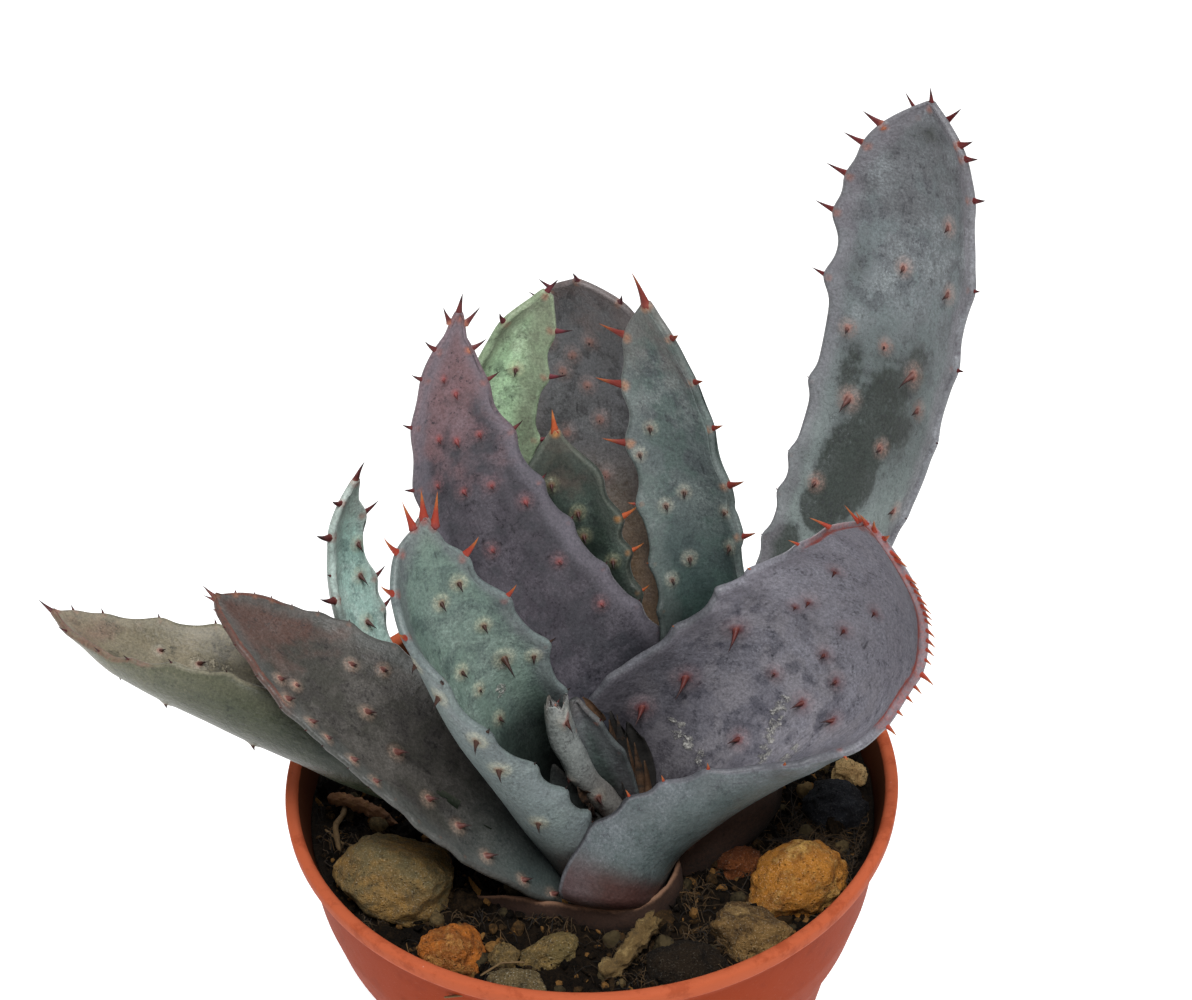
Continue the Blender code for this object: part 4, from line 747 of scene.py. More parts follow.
def build_leaf(name, rings, across, draw, whole):
    """One leaf with its margin teeth and prickles. The whole is the search tree of all the solids."""
    leaf = {**LEAVES[name], "name": name}
    skin = dict(PLAIN_SKIN, **SKINS[name])
    rings = int(rings * min(1.0, 0.25 + leaf_length(leaf) / 95))
    across = int(across * min(1.0, 0.42 + leaf["half_width"] / 18))
    steps = np.linspace(0, 1, rings)
    t = leaf.get("end", BLADE_END) * (0.62 * steps + 0.38 * np.sin(np.pi / 2 * steps))
    u = np.linspace(-1, 1, across)
    point, facing, flank = fine_blade(leaf, t, u)
    deep = thickness(leaf, t, u)[..., None]
    trees = [tree_of(item) for other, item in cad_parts.items()
             if other.startswith("leaf_") and other != name]
    thorns = [thorn for thorn in thorns_of(leaf, draw) if thorn_is_clear(thorn, trees)]
    flat = point.reshape(-1, 3)
    outer = (point - facing * deep).reshape(-1, 3)
    feet = {kind: [thorn for thorn in thorns if thorn[6] == kind] for kind in ("face", "under", "margin")}
    halo_in = nearness(flat, [thorn[0] for thorn in feet["face"]],
                       [leaf.get("halo_size", 1.0) * (0.62 + 0.2 * thorn[4]) for thorn in feet["face"]])
    halo_out = nearness(outer, [thorn[0] for thorn in feet["under"]],
                        [0.5 + 0.4 * thorn[4] for thorn in feet["under"]])
    shape = (len(t), len(u), 1)
    point = point + facing * (0.32 * halo_in ** 1.5).reshape(shape)
    under = (point - facing * deep) - facing * (0.25 * halo_out ** 1.5).reshape(shape)
    patch, scar = leaf_marks(leaf, skin, t, u, point)
    # How closed in the leaf is, from rays among all the solids; the skin paints shade from it.
    few_t, few_u = np.linspace(0.0, t[-1], COARSE[0]), np.linspace(-1, 1, COARSE[1])
    few, few_facing, _ = fine_blade(leaf, few_t, few_u)
    few_deep = thickness(leaf, few_t, few_u)[..., None]
    closed_in = spread_out(shelter_of(few, few_facing, whole, WAYS), few_t, few_u, t, u)
    closed_out = spread_out(shelter_of(few - few_facing * few_deep, -few_facing, whole, WAYS), few_t, few_u,
                            t, u)
    arcs = []
    for column, sign in ((-1, 1.0), (0, -1.0)):
        centre = (point[:, column] + under[:, column]) / 2
        half = np.linalg.norm(point[:, column] - under[:, column], axis=1, keepdims=True) / 2
        way = flank[:, column] * sign
        bows = [centre + facing[:, column] * half * math.cos(a) + way * half * math.sin(a)
                for a in (0.25 * math.pi, 0.5 * math.pi, 0.75 * math.pi)]
        arcs.append(bows if sign > 0 else bows[::-1])
    right = np.stack(arcs[0], axis=1)
    left = np.stack(arcs[1], axis=1)
    rings_of_points = np.concatenate([point, right, under[:, ::-1], left], axis=1)
    around = rings_of_points.shape[1]
    centre, tangent = midrib(leaf, t)
    ragged = leaf.get("ragged", 0.0)
    if ragged:
        wear = ragged * noise_at(rings_of_points[-1] * 1.3, 1.0, 9.0)[None, :, None]
        rings_of_points += wear * tangent[:, None] * smooth_step(t, 0.72 * t[-1], t[-1])[:, None, None]
    root = rings_of_points[:1].mean(axis=1, keepdims=True)
    foot = [root + (rings_of_points[:1] - root) * share - tangent[0] * depth
            for share, depth in ((0.35, 2.1), (0.7, 1.7), (0.92, 0.9))]
    rings_of_points = np.concatenate([*foot, rings_of_points])
    points = rings_of_points.reshape(-1, 3)

    def with_foot(rows):
        """Repeats the first ring's values for the rings of the foot."""
        return np.concatenate([rows[:1]] * 3 + [rows]).reshape(-1)

    def spread(inner, outer_values, rim):
        """Values of the faces and the rims, in the order of the points."""
        size = (len(t), len(u))
        inner = np.broadcast_to(inner, size)
        outer_values = np.broadcast_to(outer_values, size)
        rims = np.broadcast_to(rim, (len(t), 3))
        return with_foot(np.concatenate([inner, rims, outer_values[:, ::-1], rims], axis=1))

    size = (len(t), len(u))
    inset = (1 - np.abs(u))[None, :] * leaf["half_width"] * outline(leaf, t)[:, None]
    values = {
        "along": spread(t[:, None], t[:, None], t[:, None]),
        "across": with_foot(np.concatenate([np.broadcast_to(u, size), np.ones((len(t), 3)),
                                            np.broadcast_to(u[::-1], size), -np.ones((len(t), 3))], axis=1)),
        "inset": spread(inset, inset, 0.0),
        "under": spread(0.0, 1.0, 0.5),
        "halo": spread(halo_in.reshape(size), halo_out.reshape(size), 0.0),
        "patch": spread(patch, 0.0, 0.0),
        "scar": spread(scar, 0.0, 0.0),
        "shelter": spread(closed_in, closed_out, (closed_in[:, :1] + closed_out[:, :1]) / 2),
        "foot": spread(foot_of(t, u, skin["foot_end"], 0.0), foot_of(t, u, *skin["under_foot"]), 0.0),
    }
    values["glow"] = nearness(points, [thorn[0] for thorn in feet["margin"]],
                              [0.34 + 0.14 * thorn[4] for thorn in feet["margin"]])
    values["blush"] = blush_of(skin, values)
    faces = ring_faces(len(t) + 3, around)
    if "covered" in leaf:
        faces = faces_in_place(name, points, faces, int(leaf["covered"] * len(faces)))
    faces.append(tuple(range(around)))
    faces.append(tuple((len(t) + 2) * around + k for k in range(around)))
    slots = [0] * len(faces)
    all_points = [points]
    tipward = [np.zeros(len(points))]
    count = len(points)
    for thorn in thorns:
        more, more_faces, far = thorn_mesh(thorn)
        faces += [tuple(count + k for k in face) for face in more_faces]
        slots += [thorn[7]] * len(more_faces)
        all_points.append(more)
        tipward.append(far)
        count += len(more)
    points = np.vstack(all_points)
    for key in values:
        values[key] = np.concatenate([values[key], np.zeros(count - len(values[key]))])
    values["tipward"] = np.concatenate(tipward)
    materials = (leaf_skin(name, skin, leaf), thorn_skin(name + "_thorns", skin["thorn"]),
                 thorn_skin(name + "_prickles", skin["prickle"]))
    made = new_mesh_object("fine_" + name, points, faces, materials, slots, values)
    return settle(made, name, name)


def node(tree, kind, inputs=None, **settings):
    """Adds a node. Each input is a value, or the output of another node."""
    made = tree.nodes.new(kind)
    for key, value in settings.items():
        setattr(made, key, value)
    for key, value in (inputs or {}).items():
        value = getattr(value, "socket", value)
        if isinstance(value, bpy.types.NodeSocket):
            tree.links.new(value, made.inputs[key])
        elif isinstance(value, tuple) and made.inputs[key].type == "RGBA":
            made.inputs[key].default_value = (*value, 1.0)[:4]
        else:
            made.inputs[key].default_value = value
    return made


class Wire:
    """Output of a node. A sum or product with it is a maths node in the same tree."""

    def __init__(self, socket):
        self.socket = socket

    def __add__(self, other):
        return maths(self.socket.id_data, "ADD", self, other)

    def __mul__(self, other):
        return maths(self.socket.id_data, "MULTIPLY", self, other)

    def __sub__(self, other):
        return maths(self.socket.id_data, "SUBTRACT", self, other)

    def __rsub__(self, other):
        return maths(self.socket.id_data, "SUBTRACT", other, self)

    __radd__ = __add__
    __rmul__ = __mul__


def wire(tree, kind, key, inputs, **settings):
    return Wire(node(tree, kind, inputs, **settings).outputs[key])


def maths(tree, operation, first, second, clamp=False):
    return wire(tree, "ShaderNodeMath", 0, {0: first, 1: second}, operation=operation, use_clamp=clamp)


def step(tree, value, low, high):
    """Smooth rise from 0 at low to 1 at high, or a fall where low is the higher of the two."""
    return wire(tree, "ShaderNodeMapRange", "Result", {"Value": value, "From Min": low, "From Max": high},
                interpolation_type="SMOOTHSTEP")


def blend(tree, share, first, second, how="MIX"):
    return wire(tree, "ShaderNodeMix", 2, {0: share, 6: first, 7: second}, data_type="RGBA", blend_type=how)


def tinted(tree, colour, value):
    """The colour made darker or lighter by a value."""
    grey = wire(tree, "ShaderNodeCombineColor", 0, {0: value, 1: value, 2: value})
    return blend(tree, 1.0, colour, grey, "MULTIPLY")


def grain(tree, place, scale, detail=2.0, roughness=0.5):
    """Noise from 0 to 1. The scale is in spots a millimetre where the place is in millimetres."""
    return wire(tree, "ShaderNodeTexNoise", "Fac", {"Vector": place, "Scale": scale, "Detail": detail,
                                                    "Roughness": roughness})


def cells(tree, place, scale):
    return wire(tree, "ShaderNodeTexVoronoi", "Distance", {"Vector": place, "Scale": scale}, feature="F1")


def value_of(tree, name):
    """A number that the mesh holds at each point."""
    return wire(tree, "ShaderNodeAttribute", "Fac", {}, attribute_name=name, attribute_type="GEOMETRY")


def millimetres(tree):
    """Place on the object in millimetres."""
    place = node(tree, "ShaderNodeTexCoord").outputs["Object"]
    return node(tree, "ShaderNodeVectorMath", {0: place, "Scale": 1000.0},
                operation="SCALE").outputs["Vector"]


SURFACE = {"Color": "NodeSocketColor", "Roughness": "NodeSocketFloat", "Height": "NodeSocketFloat"}


def new_group(name, inputs):
    """Node group of a surface. An input is a colour where its default is a tuple, and else a number."""
    tree = bpy.data.node_groups.new(name, "ShaderNodeTree")
    for key, default in inputs.items():
        is_colour = isinstance(default, tuple)
        socket = tree.interface.new_socket(name=key, in_out="INPUT",
                                           socket_type="NodeSocketColor" if is_colour else "NodeSocketFloat")
        socket.default_value = (*default, 1.0) if is_colour else default
    for key, kind in SURFACE.items():
        tree.interface.new_socket(name=key, in_out="OUTPUT", socket_type=kind)
    return tree, {socket.name: Wire(socket) for socket in node(tree, "NodeGroupInput").outputs}


def surface(tree, colour, rough, height):
    """Puts out a group's colour, roughness and relief."""
    node(tree, "NodeGroupOutput", {"Color": colour, "Roughness": rough, "Height": height})


def new_material(name, group, values, relief, shine=0.5):
    """Material whose colour, roughness and relief come from a group. Relief is its depth in millimetres."""
    made = bpy.data.materials.new(name)
    made.use_nodes = True
    tree = made.node_tree
    tree.nodes.clear()
    effect = node(tree, "ShaderNodeGroup", node_tree=bpy.data.node_groups[group])
    for key, value in values.items():
        effect.inputs[key].default_value = (*value, 1.0) if isinstance(value, tuple) else value
    bump = node(tree, "ShaderNodeBump", {"Height": effect.outputs["Height"], "Distance": relief * MM})
    shader = node(tree, "ShaderNodeBsdfPrincipled", {
        "Base Color": effect.outputs["Color"], "Roughness": effect.outputs["Roughness"],
        "Normal": bump.outputs["Normal"], "Specular IOR Level": shine})
    node(tree, "ShaderNodeOutputMaterial", {"Surface": shader.outputs["BSDF"]})
    return made


def make_leaf_group():
    """Skin of a fleshy leaf: mottling, streaks, bloom, dark patches, scars and the rings round prickles, with
    painted shade at its foot and where it is closed in.
    """
    tree, given = new_group("LeafSkin", {
        "Main": (0.15, 0.18, 0.17), "Second": (0.12, 0.13, 0.14), "Share": 0.5, "Bloom": (0.34, 0.38, 0.38),
        "Dusting": 0.5, "Under": (0.14, 0.17, 0.16), "Tip": (0.2, 0.1, 0.08), "Tip Share": 0.3,
        "Tip Start": 0.86, "Foot": (0.09, 0.08, 0.08), "Foot Share": 0.6, "Rim": (0.34, 0.34, 0.33),
        "Rim Share": 0.4, "Blush": (0.3, 0.08, 0.05), "Halo": (0.3, 0.1, 0.08), "Ring": (0.42, 0.38, 0.3),
        "Glow": (0.42, 0.16, 0.09), "Patch": (0.05, 0.055, 0.05), "Streaks": 0.25, "Dots": 0.0,
        "Length": 60.0, "Width": 9.0, "Border": (0.17, 0.16, 0.18), "Border Share": 0.4,
        "Scar": (0.42, 0.41, 0.38), "Under Foot": (0.06, 0.03, 0.025), "Recess": 0.7})
    place = millimetres(tree)
    along = value_of(tree, "along")
    under = value_of(tree, "under")
    inset = value_of(tree, "inset")
    run = along * given["Length"]
    over = value_of(tree, "across") * given["Width"]
    grid = node(tree, "ShaderNodeCombineXYZ", {"X": run * 0.1, "Y": over, "Z": under * 30.0}).outputs[0]
    broad = grain(tree, place, 0.3, 3.0, 0.55)
    medium = grain(tree, place, 1.1, 3.0, 0.6)
    fine = grain(tree, place, 3.4, 4.0, 0.7)
    lines = grain(tree, grid, 2.1, 3.0, 0.55)
    wide = grain(tree, place, 0.11, 2.0, 0.5)
    colour = blend(tree, step(tree, broad, 0.42, 0.58) * given["Share"], given["Main"], given["Second"])
    dark = blend(tree, 1.0, given["Second"], (0.55, 0.55, 0.58), "MULTIPLY")
    blotch = grain(tree, node(tree, "ShaderNodeVectorMath", {0: place, 1: (31.0, 7.0, 13.0)},
        operation="ADD").outputs[0], 0.42, 4.0, 0.62)
    colour = blend(tree, step(tree, blotch, 0.48, 0.62) * 0.7, colour, dark)
    thin = step(tree, lines, 0.56, 0.68) * given["Streaks"]
    colour = blend(tree, thin, colour, dark)
    colour = blend(tree, under * 0.85, colour, given["Under"])
    foot = maths(tree, "MULTIPLY", value_of(tree, "foot"), 0.7 + broad * 0.6, clamp=True)
    wavy = along + (broad - 0.5) * 0.35
    tip = step(tree, wavy, given["Tip Start"], given["Tip Start"] + 0.14) * given["Tip Share"]
    colour = blend(tree, tip, colour, given["Tip"])
    # Dark patches from the table of patches, with a speckled fringe: they clear the bloom and the foot colour
    # and sink a little.
    ragged = value_of(tree, "patch") + medium * 0.5
    ragged = ragged + broad * 0.6
    dark_patches = step(tree, ragged, 0.96, 1.34)
    patch_fringe = step(tree, ragged, 0.72, 1.05) * step(tree, fine, 0.5, 0.6)
    dark_patches = maths(tree, "MAXIMUM", dark_patches, patch_fringe * 0.7)
    bare = 1.0 - dark_patches * 0.9
    foot = foot * given["Foot Share"] * bare
    colour = blend(tree, dark_patches * 0.85, colour, given["Patch"])
    cloud = step(tree, broad + medium * 0.6, 0.66, 1.0)
    flecks = step(tree, fine, 0.42, 0.64)
    cloud = cloud * step(tree, wide, 0.36, 0.62)
    dust = (cloud * 0.85 + 0.14) * (flecks * 0.35 + 0.65)
    dust = dust * given["Dusting"]
    dust = dust * (1.0 - dark_patches * 0.8)
    dust = dust * (1.0 - under * 0.5)
    colour = blend(tree, dust, colour, given["Bloom"])
    motes = step(tree, grain(tree, place, 2.6, 5.0, 0.8), 0.58, 0.68)
    motes = motes * step(tree, wide, 0.38, 0.6) * given["Dusting"]
    colour = blend(tree, motes * 0.75, colour, given["Bloom"])
    dashes = node(tree, "ShaderNodeVectorMath", {0: grid, 1: (2.4, 1.1, 1.0)},
        operation="MULTIPLY").outputs[0]
    scuffs = step(tree, cells(tree, dashes, 0.55), 0.14, 0.07) * step(tree, blotch, 0.46, 0.6)
    colour = blend(tree, scuffs * 0.6, colour, blend(tree, 1.0, dark, (0.4, 0.4, 0.4), "MULTIPLY"))
    spots = grain(tree, place, 2.1, 4.0, 0.75)
    spots = step(tree, spots, 0.52, 0.64) * step(tree, blotch, 0.4, 0.6)
    colour = blend(tree, spots * given["Dots"], colour, blend(tree, 1.0, dark, (0.45, 0.45, 0.45),
        "MULTIPLY"))
    # Towards the base the colour goes to Foot, or to Under Foot on the under face: partly the base's own
    # colour, partly painted shade.
    colour = blend(tree, foot, colour, blend(tree, under, given["Foot"], given["Under Foot"]))
    edge = inset + (medium - 0.5) * 0.9
    band = edge + (broad - 0.5) * 3.0
    border = step(tree, band, 2.6, 0.6) * given["Border Share"]
    border = border * (1.0 - under * 0.7)
    colour = blend(tree, border, colour, given["Border"])
    rim = step(tree, edge, 0.6, 0.0) * given["Rim Share"]
    colour = blend(tree, rim, colour, given["Rim"])
    ruddy = medium * 1.2 + fine * 0.9
    blush = step(tree, value_of(tree, "blush") * ruddy, 0.3, 1.15)
    colour = blend(tree, blush * 0.9, colour, given["Blush"])
    halo = value_of(tree, "halo") * (0.75 + medium * 0.5)
    ring = step(tree, halo, 0.04, 0.45) * (0.22 + flecks * 0.22)
    colour = blend(tree, ring, colour, given["Ring"])
    colour = blend(tree, step(tree, halo, 0.55, 1.0) * 0.8, colour, given["Halo"])
    glow = step(tree, value_of(tree, "glow") * (0.5 + medium), 0.25, 0.95)
    colour = blend(tree, glow * 0.75, colour, given["Glow"])
    torn = medium * 1.1 + flecks * 0.5
    scar = step(tree, value_of(tree, "scar") * torn, 0.28, 0.75)
    colour = blend(tree, scar * 0.8, colour, given["Scar"])
    speck = node(tree, "ShaderNodeMapRange", {"Value": fine, "From Min": 0.3, "From Max": 0.7, "To Min": 0.7,
        "To Max": 1.3}).outputs["Result"]
    colour = tinted(tree, colour, speck)
    # Painted shade: the colour darkens where the leaves round it close the leaf in, as far as its Recess
    # share allows.
    closed = step(tree, value_of(tree, "shelter"), 0.35, 1.0)
    gloom = 1.0 - closed * given["Recess"]
    colour = tinted(tree, colour, gloom)
    rough = 0.36 + dust * 0.4
    height = fine * 0.16 + medium * 0.6
    height = height + lines * 0.15
    height = height + scar * 0.5
    height = height - dark_patches * 0.3
    surface(tree, colour, rough, height)


def make_thorn_group():
    """Horn of a thorn, from its fleshy root to its dark point."""
    tree, given = new_group("ThornHorn", {
        "Root": (0.5, 0.2, 0.1), "Body": (0.22, 0.035, 0.03), "Point": (0.035, 0.008, 0.012)})
    place = millimetres(tree)
    far = value_of(tree, "tipward")
    uneven = far + (grain(tree, place, 1.6) - 0.5) * 0.3
    colour = blend(tree, step(tree, uneven, -0.1, 0.24), given["Root"], given["Body"])
    colour = blend(tree, step(tree, uneven, 0.42, 0.8), colour, given["Point"])
    fine = grain(tree, place, 6.0)
    surface(tree, blend(tree, fine * 0.3, colour, (0.02, 0.01, 0.01)), 0.42 + fine * 0.2, fine)


def make_rock_group():
    """Weathered stone or peat lump: two tones, a rough crust in places, pale specks and dark pits."""
    tree, given = new_group("Rock", {
        "Main": (0.14, 0.13, 0.09), "Second": (0.08, 0.07, 0.05), "Crust": (0.3, 0.14, 0.04),
        "Crust Share": 0.4, "Specks": (0.5, 0.48, 0.4), "Speck Share": 0.2, "Scale": 1.0, "Gloss": 0.1})
    place = node(tree, "ShaderNodeVectorMath", {0: millimetres(tree), "Scale": given["Scale"]},
        operation="SCALE").outputs["Vector"]
    broad = grain(tree, place, 0.17, 4.0, 0.65)
    medium = grain(tree, place, 1.1, 5.0, 0.7)
    fine = grain(tree, place, 5.0, 4.0, 0.7)
    colour = blend(tree, step(tree, broad, 0.44, 0.56), given["Main"], given["Second"])
    worn = step(tree, broad * 0.9 + medium * 0.6, 0.95 - given["Crust Share"] * 0.35, 1.0)
    colour = blend(tree, worn * 0.9, colour, given["Crust"])
    dust = step(tree, fine, 0.56, 0.68) * given["Speck Share"]
    colour = blend(tree, dust, colour, given["Specks"])
    pits = step(tree, cells(tree, place, 1.9), 0.28, 0.08)
    colour = blend(tree, pits * 0.25, colour, blend(tree, 1.0, given["Second"], (0.4, 0.4, 0.4),
        "MULTIPLY"))
    shade = node(tree, "ShaderNodeMapRange", {"Value": fine, "From Min": 0.3, "From Max": 0.7,
        "To Min": 0.66, "To Max": 1.34}).outputs["Result"]
    colour = tinted(tree, colour, shade)
    height = medium * 0.9 + fine * 0.5
    height = height - pits * 0.4
    surface(tree, colour, 0.95 - given["Gloss"] * fine, height)


def make_litter_group():
    """Peat, bark and root, whose shade is a number on the mesh: 0 is the darkest and 1 the lightest."""
    tree, given = new_group("Litter", {
        "Dark": PEAT_DARK, "Middle": PEAT_MIDDLE, "Light": (0.25, 0.12, 0.04),
        "Fibre": 0.4})
    place = millimetres(tree)
    shade = value_of(tree, "shade")
    medium = grain(tree, place, 2.4, 4.0, 0.65)
    fine = grain(tree, place, 9.0, 3.0, 0.65)
    uneven = shade + (medium - 0.5) * 0.7
    colour = blend(tree, step(tree, uneven, 0.05, 0.45), given["Dark"], given["Middle"])
    colour = blend(tree, step(tree, uneven, 0.5, 1.0), colour, given["Light"])
    tufts = step(tree, fine, 0.6, 0.72) * given["Fibre"]
    colour = blend(tree, tufts * 0.5, colour, given["Light"])
    surface(tree, colour, 0.95 - medium * 0.25, medium + fine * 0.6)


def make_plastic_group():
    """Satin moulded plastic with fine scratches, dust in the lip, a lighter lip top that is partly wear and
    partly painted light, and a dark band inside of soil dirt and painted shade.
    """
    tree, given = new_group("PotPlastic", {
        "Plastic": (0.285, 0.038, 0.009), "Wear And Light": (0.52, 0.125, 0.056), "Soiling And Shade": (0.035, 0.016, 0.008),
        "Soiling And Shade Share": 0.9, "Scratches": 0.5})
    place = millimetres(tree)
    broad = grain(tree, place, 0.12, 3.0, 0.6)
    fine = grain(tree, place, 7.0, 2.0, 0.6)
    medium = grain(tree, place, 0.9, 4.0, 0.65)
    # The lip top takes the lighter plastic: partly wear, partly painted light where it faces up.
    fade = value_of(tree, "worn") * 0.7 + broad * 0.12
    colour = blend(tree, fade, given["Plastic"], given["Wear And Light"])
    turned = node(tree, "ShaderNodeVectorRotate", {"Vector": place, "Angle": 0.7},
        rotation_type="X_AXIS").outputs[0]
    drawn = node(tree, "ShaderNodeMapping", {"Vector": turned, "Scale": (0.25, 3.0, 3.0)}).outputs[0]
    scratch = step(tree, grain(tree, drawn, 1.1, 4.0, 0.7), 0.6, 0.7) * given["Scratches"]
    smears = step(tree, grain(tree, place, 0.35, 5.0, 0.7), 0.5, 0.66)
    colour = blend(tree, smears * 0.4, colour, (0.21, 0.03, 0.01))
    colour = blend(tree, scratch * 0.5, colour, given["Wear And Light"])
    specks = step(tree, cells(tree, place, 0.3), 0.035, 0.02) * step(tree, broad, 0.48, 0.56)
    colour = blend(tree, specks * 0.35, colour, (0.75, 0.62, 0.55))
    # Dark band on the inner wall under the lip: soil dirt and painted shade.
    soiling_and_shade_mask = maths(tree, "MULTIPLY", value_of(tree, "soiling_and_shade"), 0.45 + medium, clamp=True)
    soiling_and_shade_mask = step(tree, soiling_and_shade_mask, 0.12, 0.6) * given["Soiling And Shade Share"]
    colour = blend(tree, soiling_and_shade_mask, colour, given["Soiling And Shade"])
    rough = 0.46 + medium * 0.16
    rough = rough + soiling_and_shade_mask * 0.3
    height = fine * 0.25 + medium * 0.5
    surface(tree, colour, rough, height - scratch)


def make_groups():
    """Makes the shared effects once, before the first material."""
    makers = {"LeafSkin": make_leaf_group, "ThornHorn": make_thorn_group, "Rock": make_rock_group,
              "Litter": make_litter_group, "PotPlastic": make_plastic_group}
    for name, maker in makers.items():
        if name not in bpy.data.node_groups:
            maker()


def leaf_skin(name, skin, leaf):
    values = {key.replace("_", " ").title(): value for key, value in skin.items() if key not in SHAPED}
    values.update({"Under Foot": skin["under_base"], "Length": leaf_length(leaf),
                   "Width": leaf["half_width"]})
    return new_material(name + "_skin", "LeafSkin", values, relief=0.24, shine=0.32)


def thorn_skin(name, colours):
    root, body, point = colours
    return new_material(name, "ThornHorn", {"Root": root, "Body": body, "Point": point}, relief=0.03,
                        shine=0.3)


def litter(name, dark, middle, light, fibre, relief, shine=0.5):
    """Material of peat, bark or root from its three tones and its share of light fibres."""
    values = {"Dark": dark, "Middle": middle, "Light": light, "Fibre": fibre}
    return new_material(name, "Litter", values, relief, shine)


def inner_radius(height):
    """Inner radius of the pot at a height."""
    for (high, high_radius), (low, low_radius) in zip(POT_WALL, POT_WALL[1:]):
        if low <= height <= high:
            return low_radius + (high_radius - low_radius) * (height - low) / (high - low) - WALL
    return POT_WALL[0][1] - WALL


def spin(profile, around, centre=(0.0, 0.0)):
    """Points and faces of a profile turned about an upright line. Its ends lie on that line."""
    turns = np.arange(around) * 2 * np.pi / around
    rings = np.array([[(radius * math.cos(a) + centre[0], radius * math.sin(a) + centre[1], height)
                       for a in turns]
                      for radius, height in profile[1:-1]])
    points = np.vstack([rings.reshape(-1, 3), [(*centre, profile[0][1])], [(*centre, profile[-1][1])]])
    return points, fan_faces(len(rings), around)


def build_pot(around, colour, gloss):
    """Turned shell with a rolled lip and a step in its wall."""
    inner = [(0.0, FLOOR), (inner_radius(FLOOR) - 1.0, FLOOR), (inner_radius(FLOOR), FLOOR + 1.0)]
    inner += [(inner_radius(height), height) for height in np.linspace(4.0, 59.0, 23)]
    lip = [(33.12, 60.0), (33.4, 60.9), (33.6, 61.5), (33.8, 61.82), (34.08, 61.96), (34.46, 62.0),
           (34.78, 61.95), (34.94, 61.78), (35.0, 61.5), (34.97, 61.0), (34.93, 60.45), (34.82, 60.15),
           (34.6, 60.02), (34.1, 60.0), (33.85, 59.9), (33.78, 59.6)]
    wall = []
    for (high, high_radius), (low, low_radius) in zip(POT_WALL, POT_WALL[1:-1]):
        for share in np.linspace(0.04, 0.96, 7):
            wall.append((high_radius + (low_radius - high_radius) * share, high + (low - high) * share))
    foot = [(22.3, 0.7), (22.1, 0.3), (21.7, 0.05), (21.2, 0.0), (0.0, 0.0)]
    profile = inner + lip + wall + foot
    points, faces = spin(profile, around)
    is_inner = np.repeat([k < len(inner) + 3 for k in range(len(profile) - 2)], around)
    is_inner = np.append(is_inner, (True, False))
    # Painted shade with some soil dirt: the inner wall darkens from just under the lip down.
    soiling_and_shade = np.where(is_inner, smooth_step(points[:, 2], 61.7, 60.9), 0.0)
    # The lip top is lighter: partly wear and partly painted light.
    worn = smooth_step(points[:, 2], 59.7, 60.3)
    plastic = new_material("pot_plastic", "PotPlastic", {"Plastic": colour}, relief=0.05, shine=gloss)
    made = new_mesh_object("fine_pot", points, faces, (plastic,), attributes={"soiling_and_shade": soiling_and_shade, "worn": worn})
    return settle(made, "pot", "pot")


def soil_level(x, y):
    """Height of the peat's surface, which rises a little round the plant."""

    def ripple(scale, shift):
        return noise.noise(Vector((x * scale, y * scale, shift)))

    rough = ripple(0.22, 3.1) + 0.5 * ripple(0.5, 7.7)
    fine = 0.5 * ripple(1.1, 1.3) + 0.34 * ripple(2.3, 5.9) + 0.2 * ripple(4.6, 2.2)
    near = math.hypot(x - CROWN[0], y - CROWN[1])
    return SOIL_TOP + 0.7 * rough + fine + 1.1 * math.exp(-(near / 9.5) ** 2)


def build_soil(around, rings, dark, light):
    """Plug of peat with a crumbled top."""
    edge = inner_radius(SOIL_TOP) - 0.1
    points = []
    shade = []
    for radius in edge * np.linspace(0, 1, rings + 1)[1:]:
        for turn in np.arange(around) * 2 * np.pi / around:
            x, y = radius * math.cos(turn), radius * math.sin(turn)
            height = soil_level(x, y)
            points.append((x, y, height))
            shade.append(np.clip(0.18 + 0.22 * (height - SOIL_TOP) / 1.5, 0.0, 0.6))
    for height in (54.0, 50.0, 45.0, 40.5, 28.0, FLOOR + 0.6):
        radius = inner_radius(height) - 0.3
        for turn in np.arange(around) * 2 * np.pi / around:
            points.append((radius * math.cos(turn), radius * math.sin(turn), height))
            shade.append(0.1)
    faces = fan_faces(len(points) // around, around)
    points += [(0.0, 0.0, soil_level(0.0, 0.0)), (0.0, 0.0, FLOOR + 0.6)]
    shade += [0.2, 0.1]
    peat = litter("peat", dark, PEAT_MIDDLE, light, 0.35, relief=0.5, shine=0.12)
    made = new_mesh_object("fine_soil", points, faces, (peat,), attributes={"shade": shade})
    return settle(made, "soil", "soil")


def lump(subdivisions):
    """Unit sphere of triangles: its points and faces."""
    bm = bmesh.new()
    bmesh.ops.create_icosphere(bm, subdivisions=subdivisions, radius=1.0)
    points = np.array([vert.co for vert in bm.verts])
    faces = [tuple(vert.index for vert in face.verts) for face in bm.faces]
    bm.free()
    return points, faces


def free_place(draw, reach, clear):
    """A seeded place on the soil, outside each (x, y, radius) that is to stay clear."""
    for _ in range(200):
        radius = reach * math.sqrt(draw.random())
        turn = draw.uniform(0, 2 * math.pi)
        x, y = radius * math.cos(turn), radius * math.sin(turn)
        if all(math.hypot(x - cx, y - cy) > far for cx, cy, far in clear):
            return x, y
    raise RuntimeError("no free place is left on the soil")


def stone_clearings(share):
    return [(x, y, share * min(half[0], half[1])) for (x, y, _), half, _ in STONES.values()]


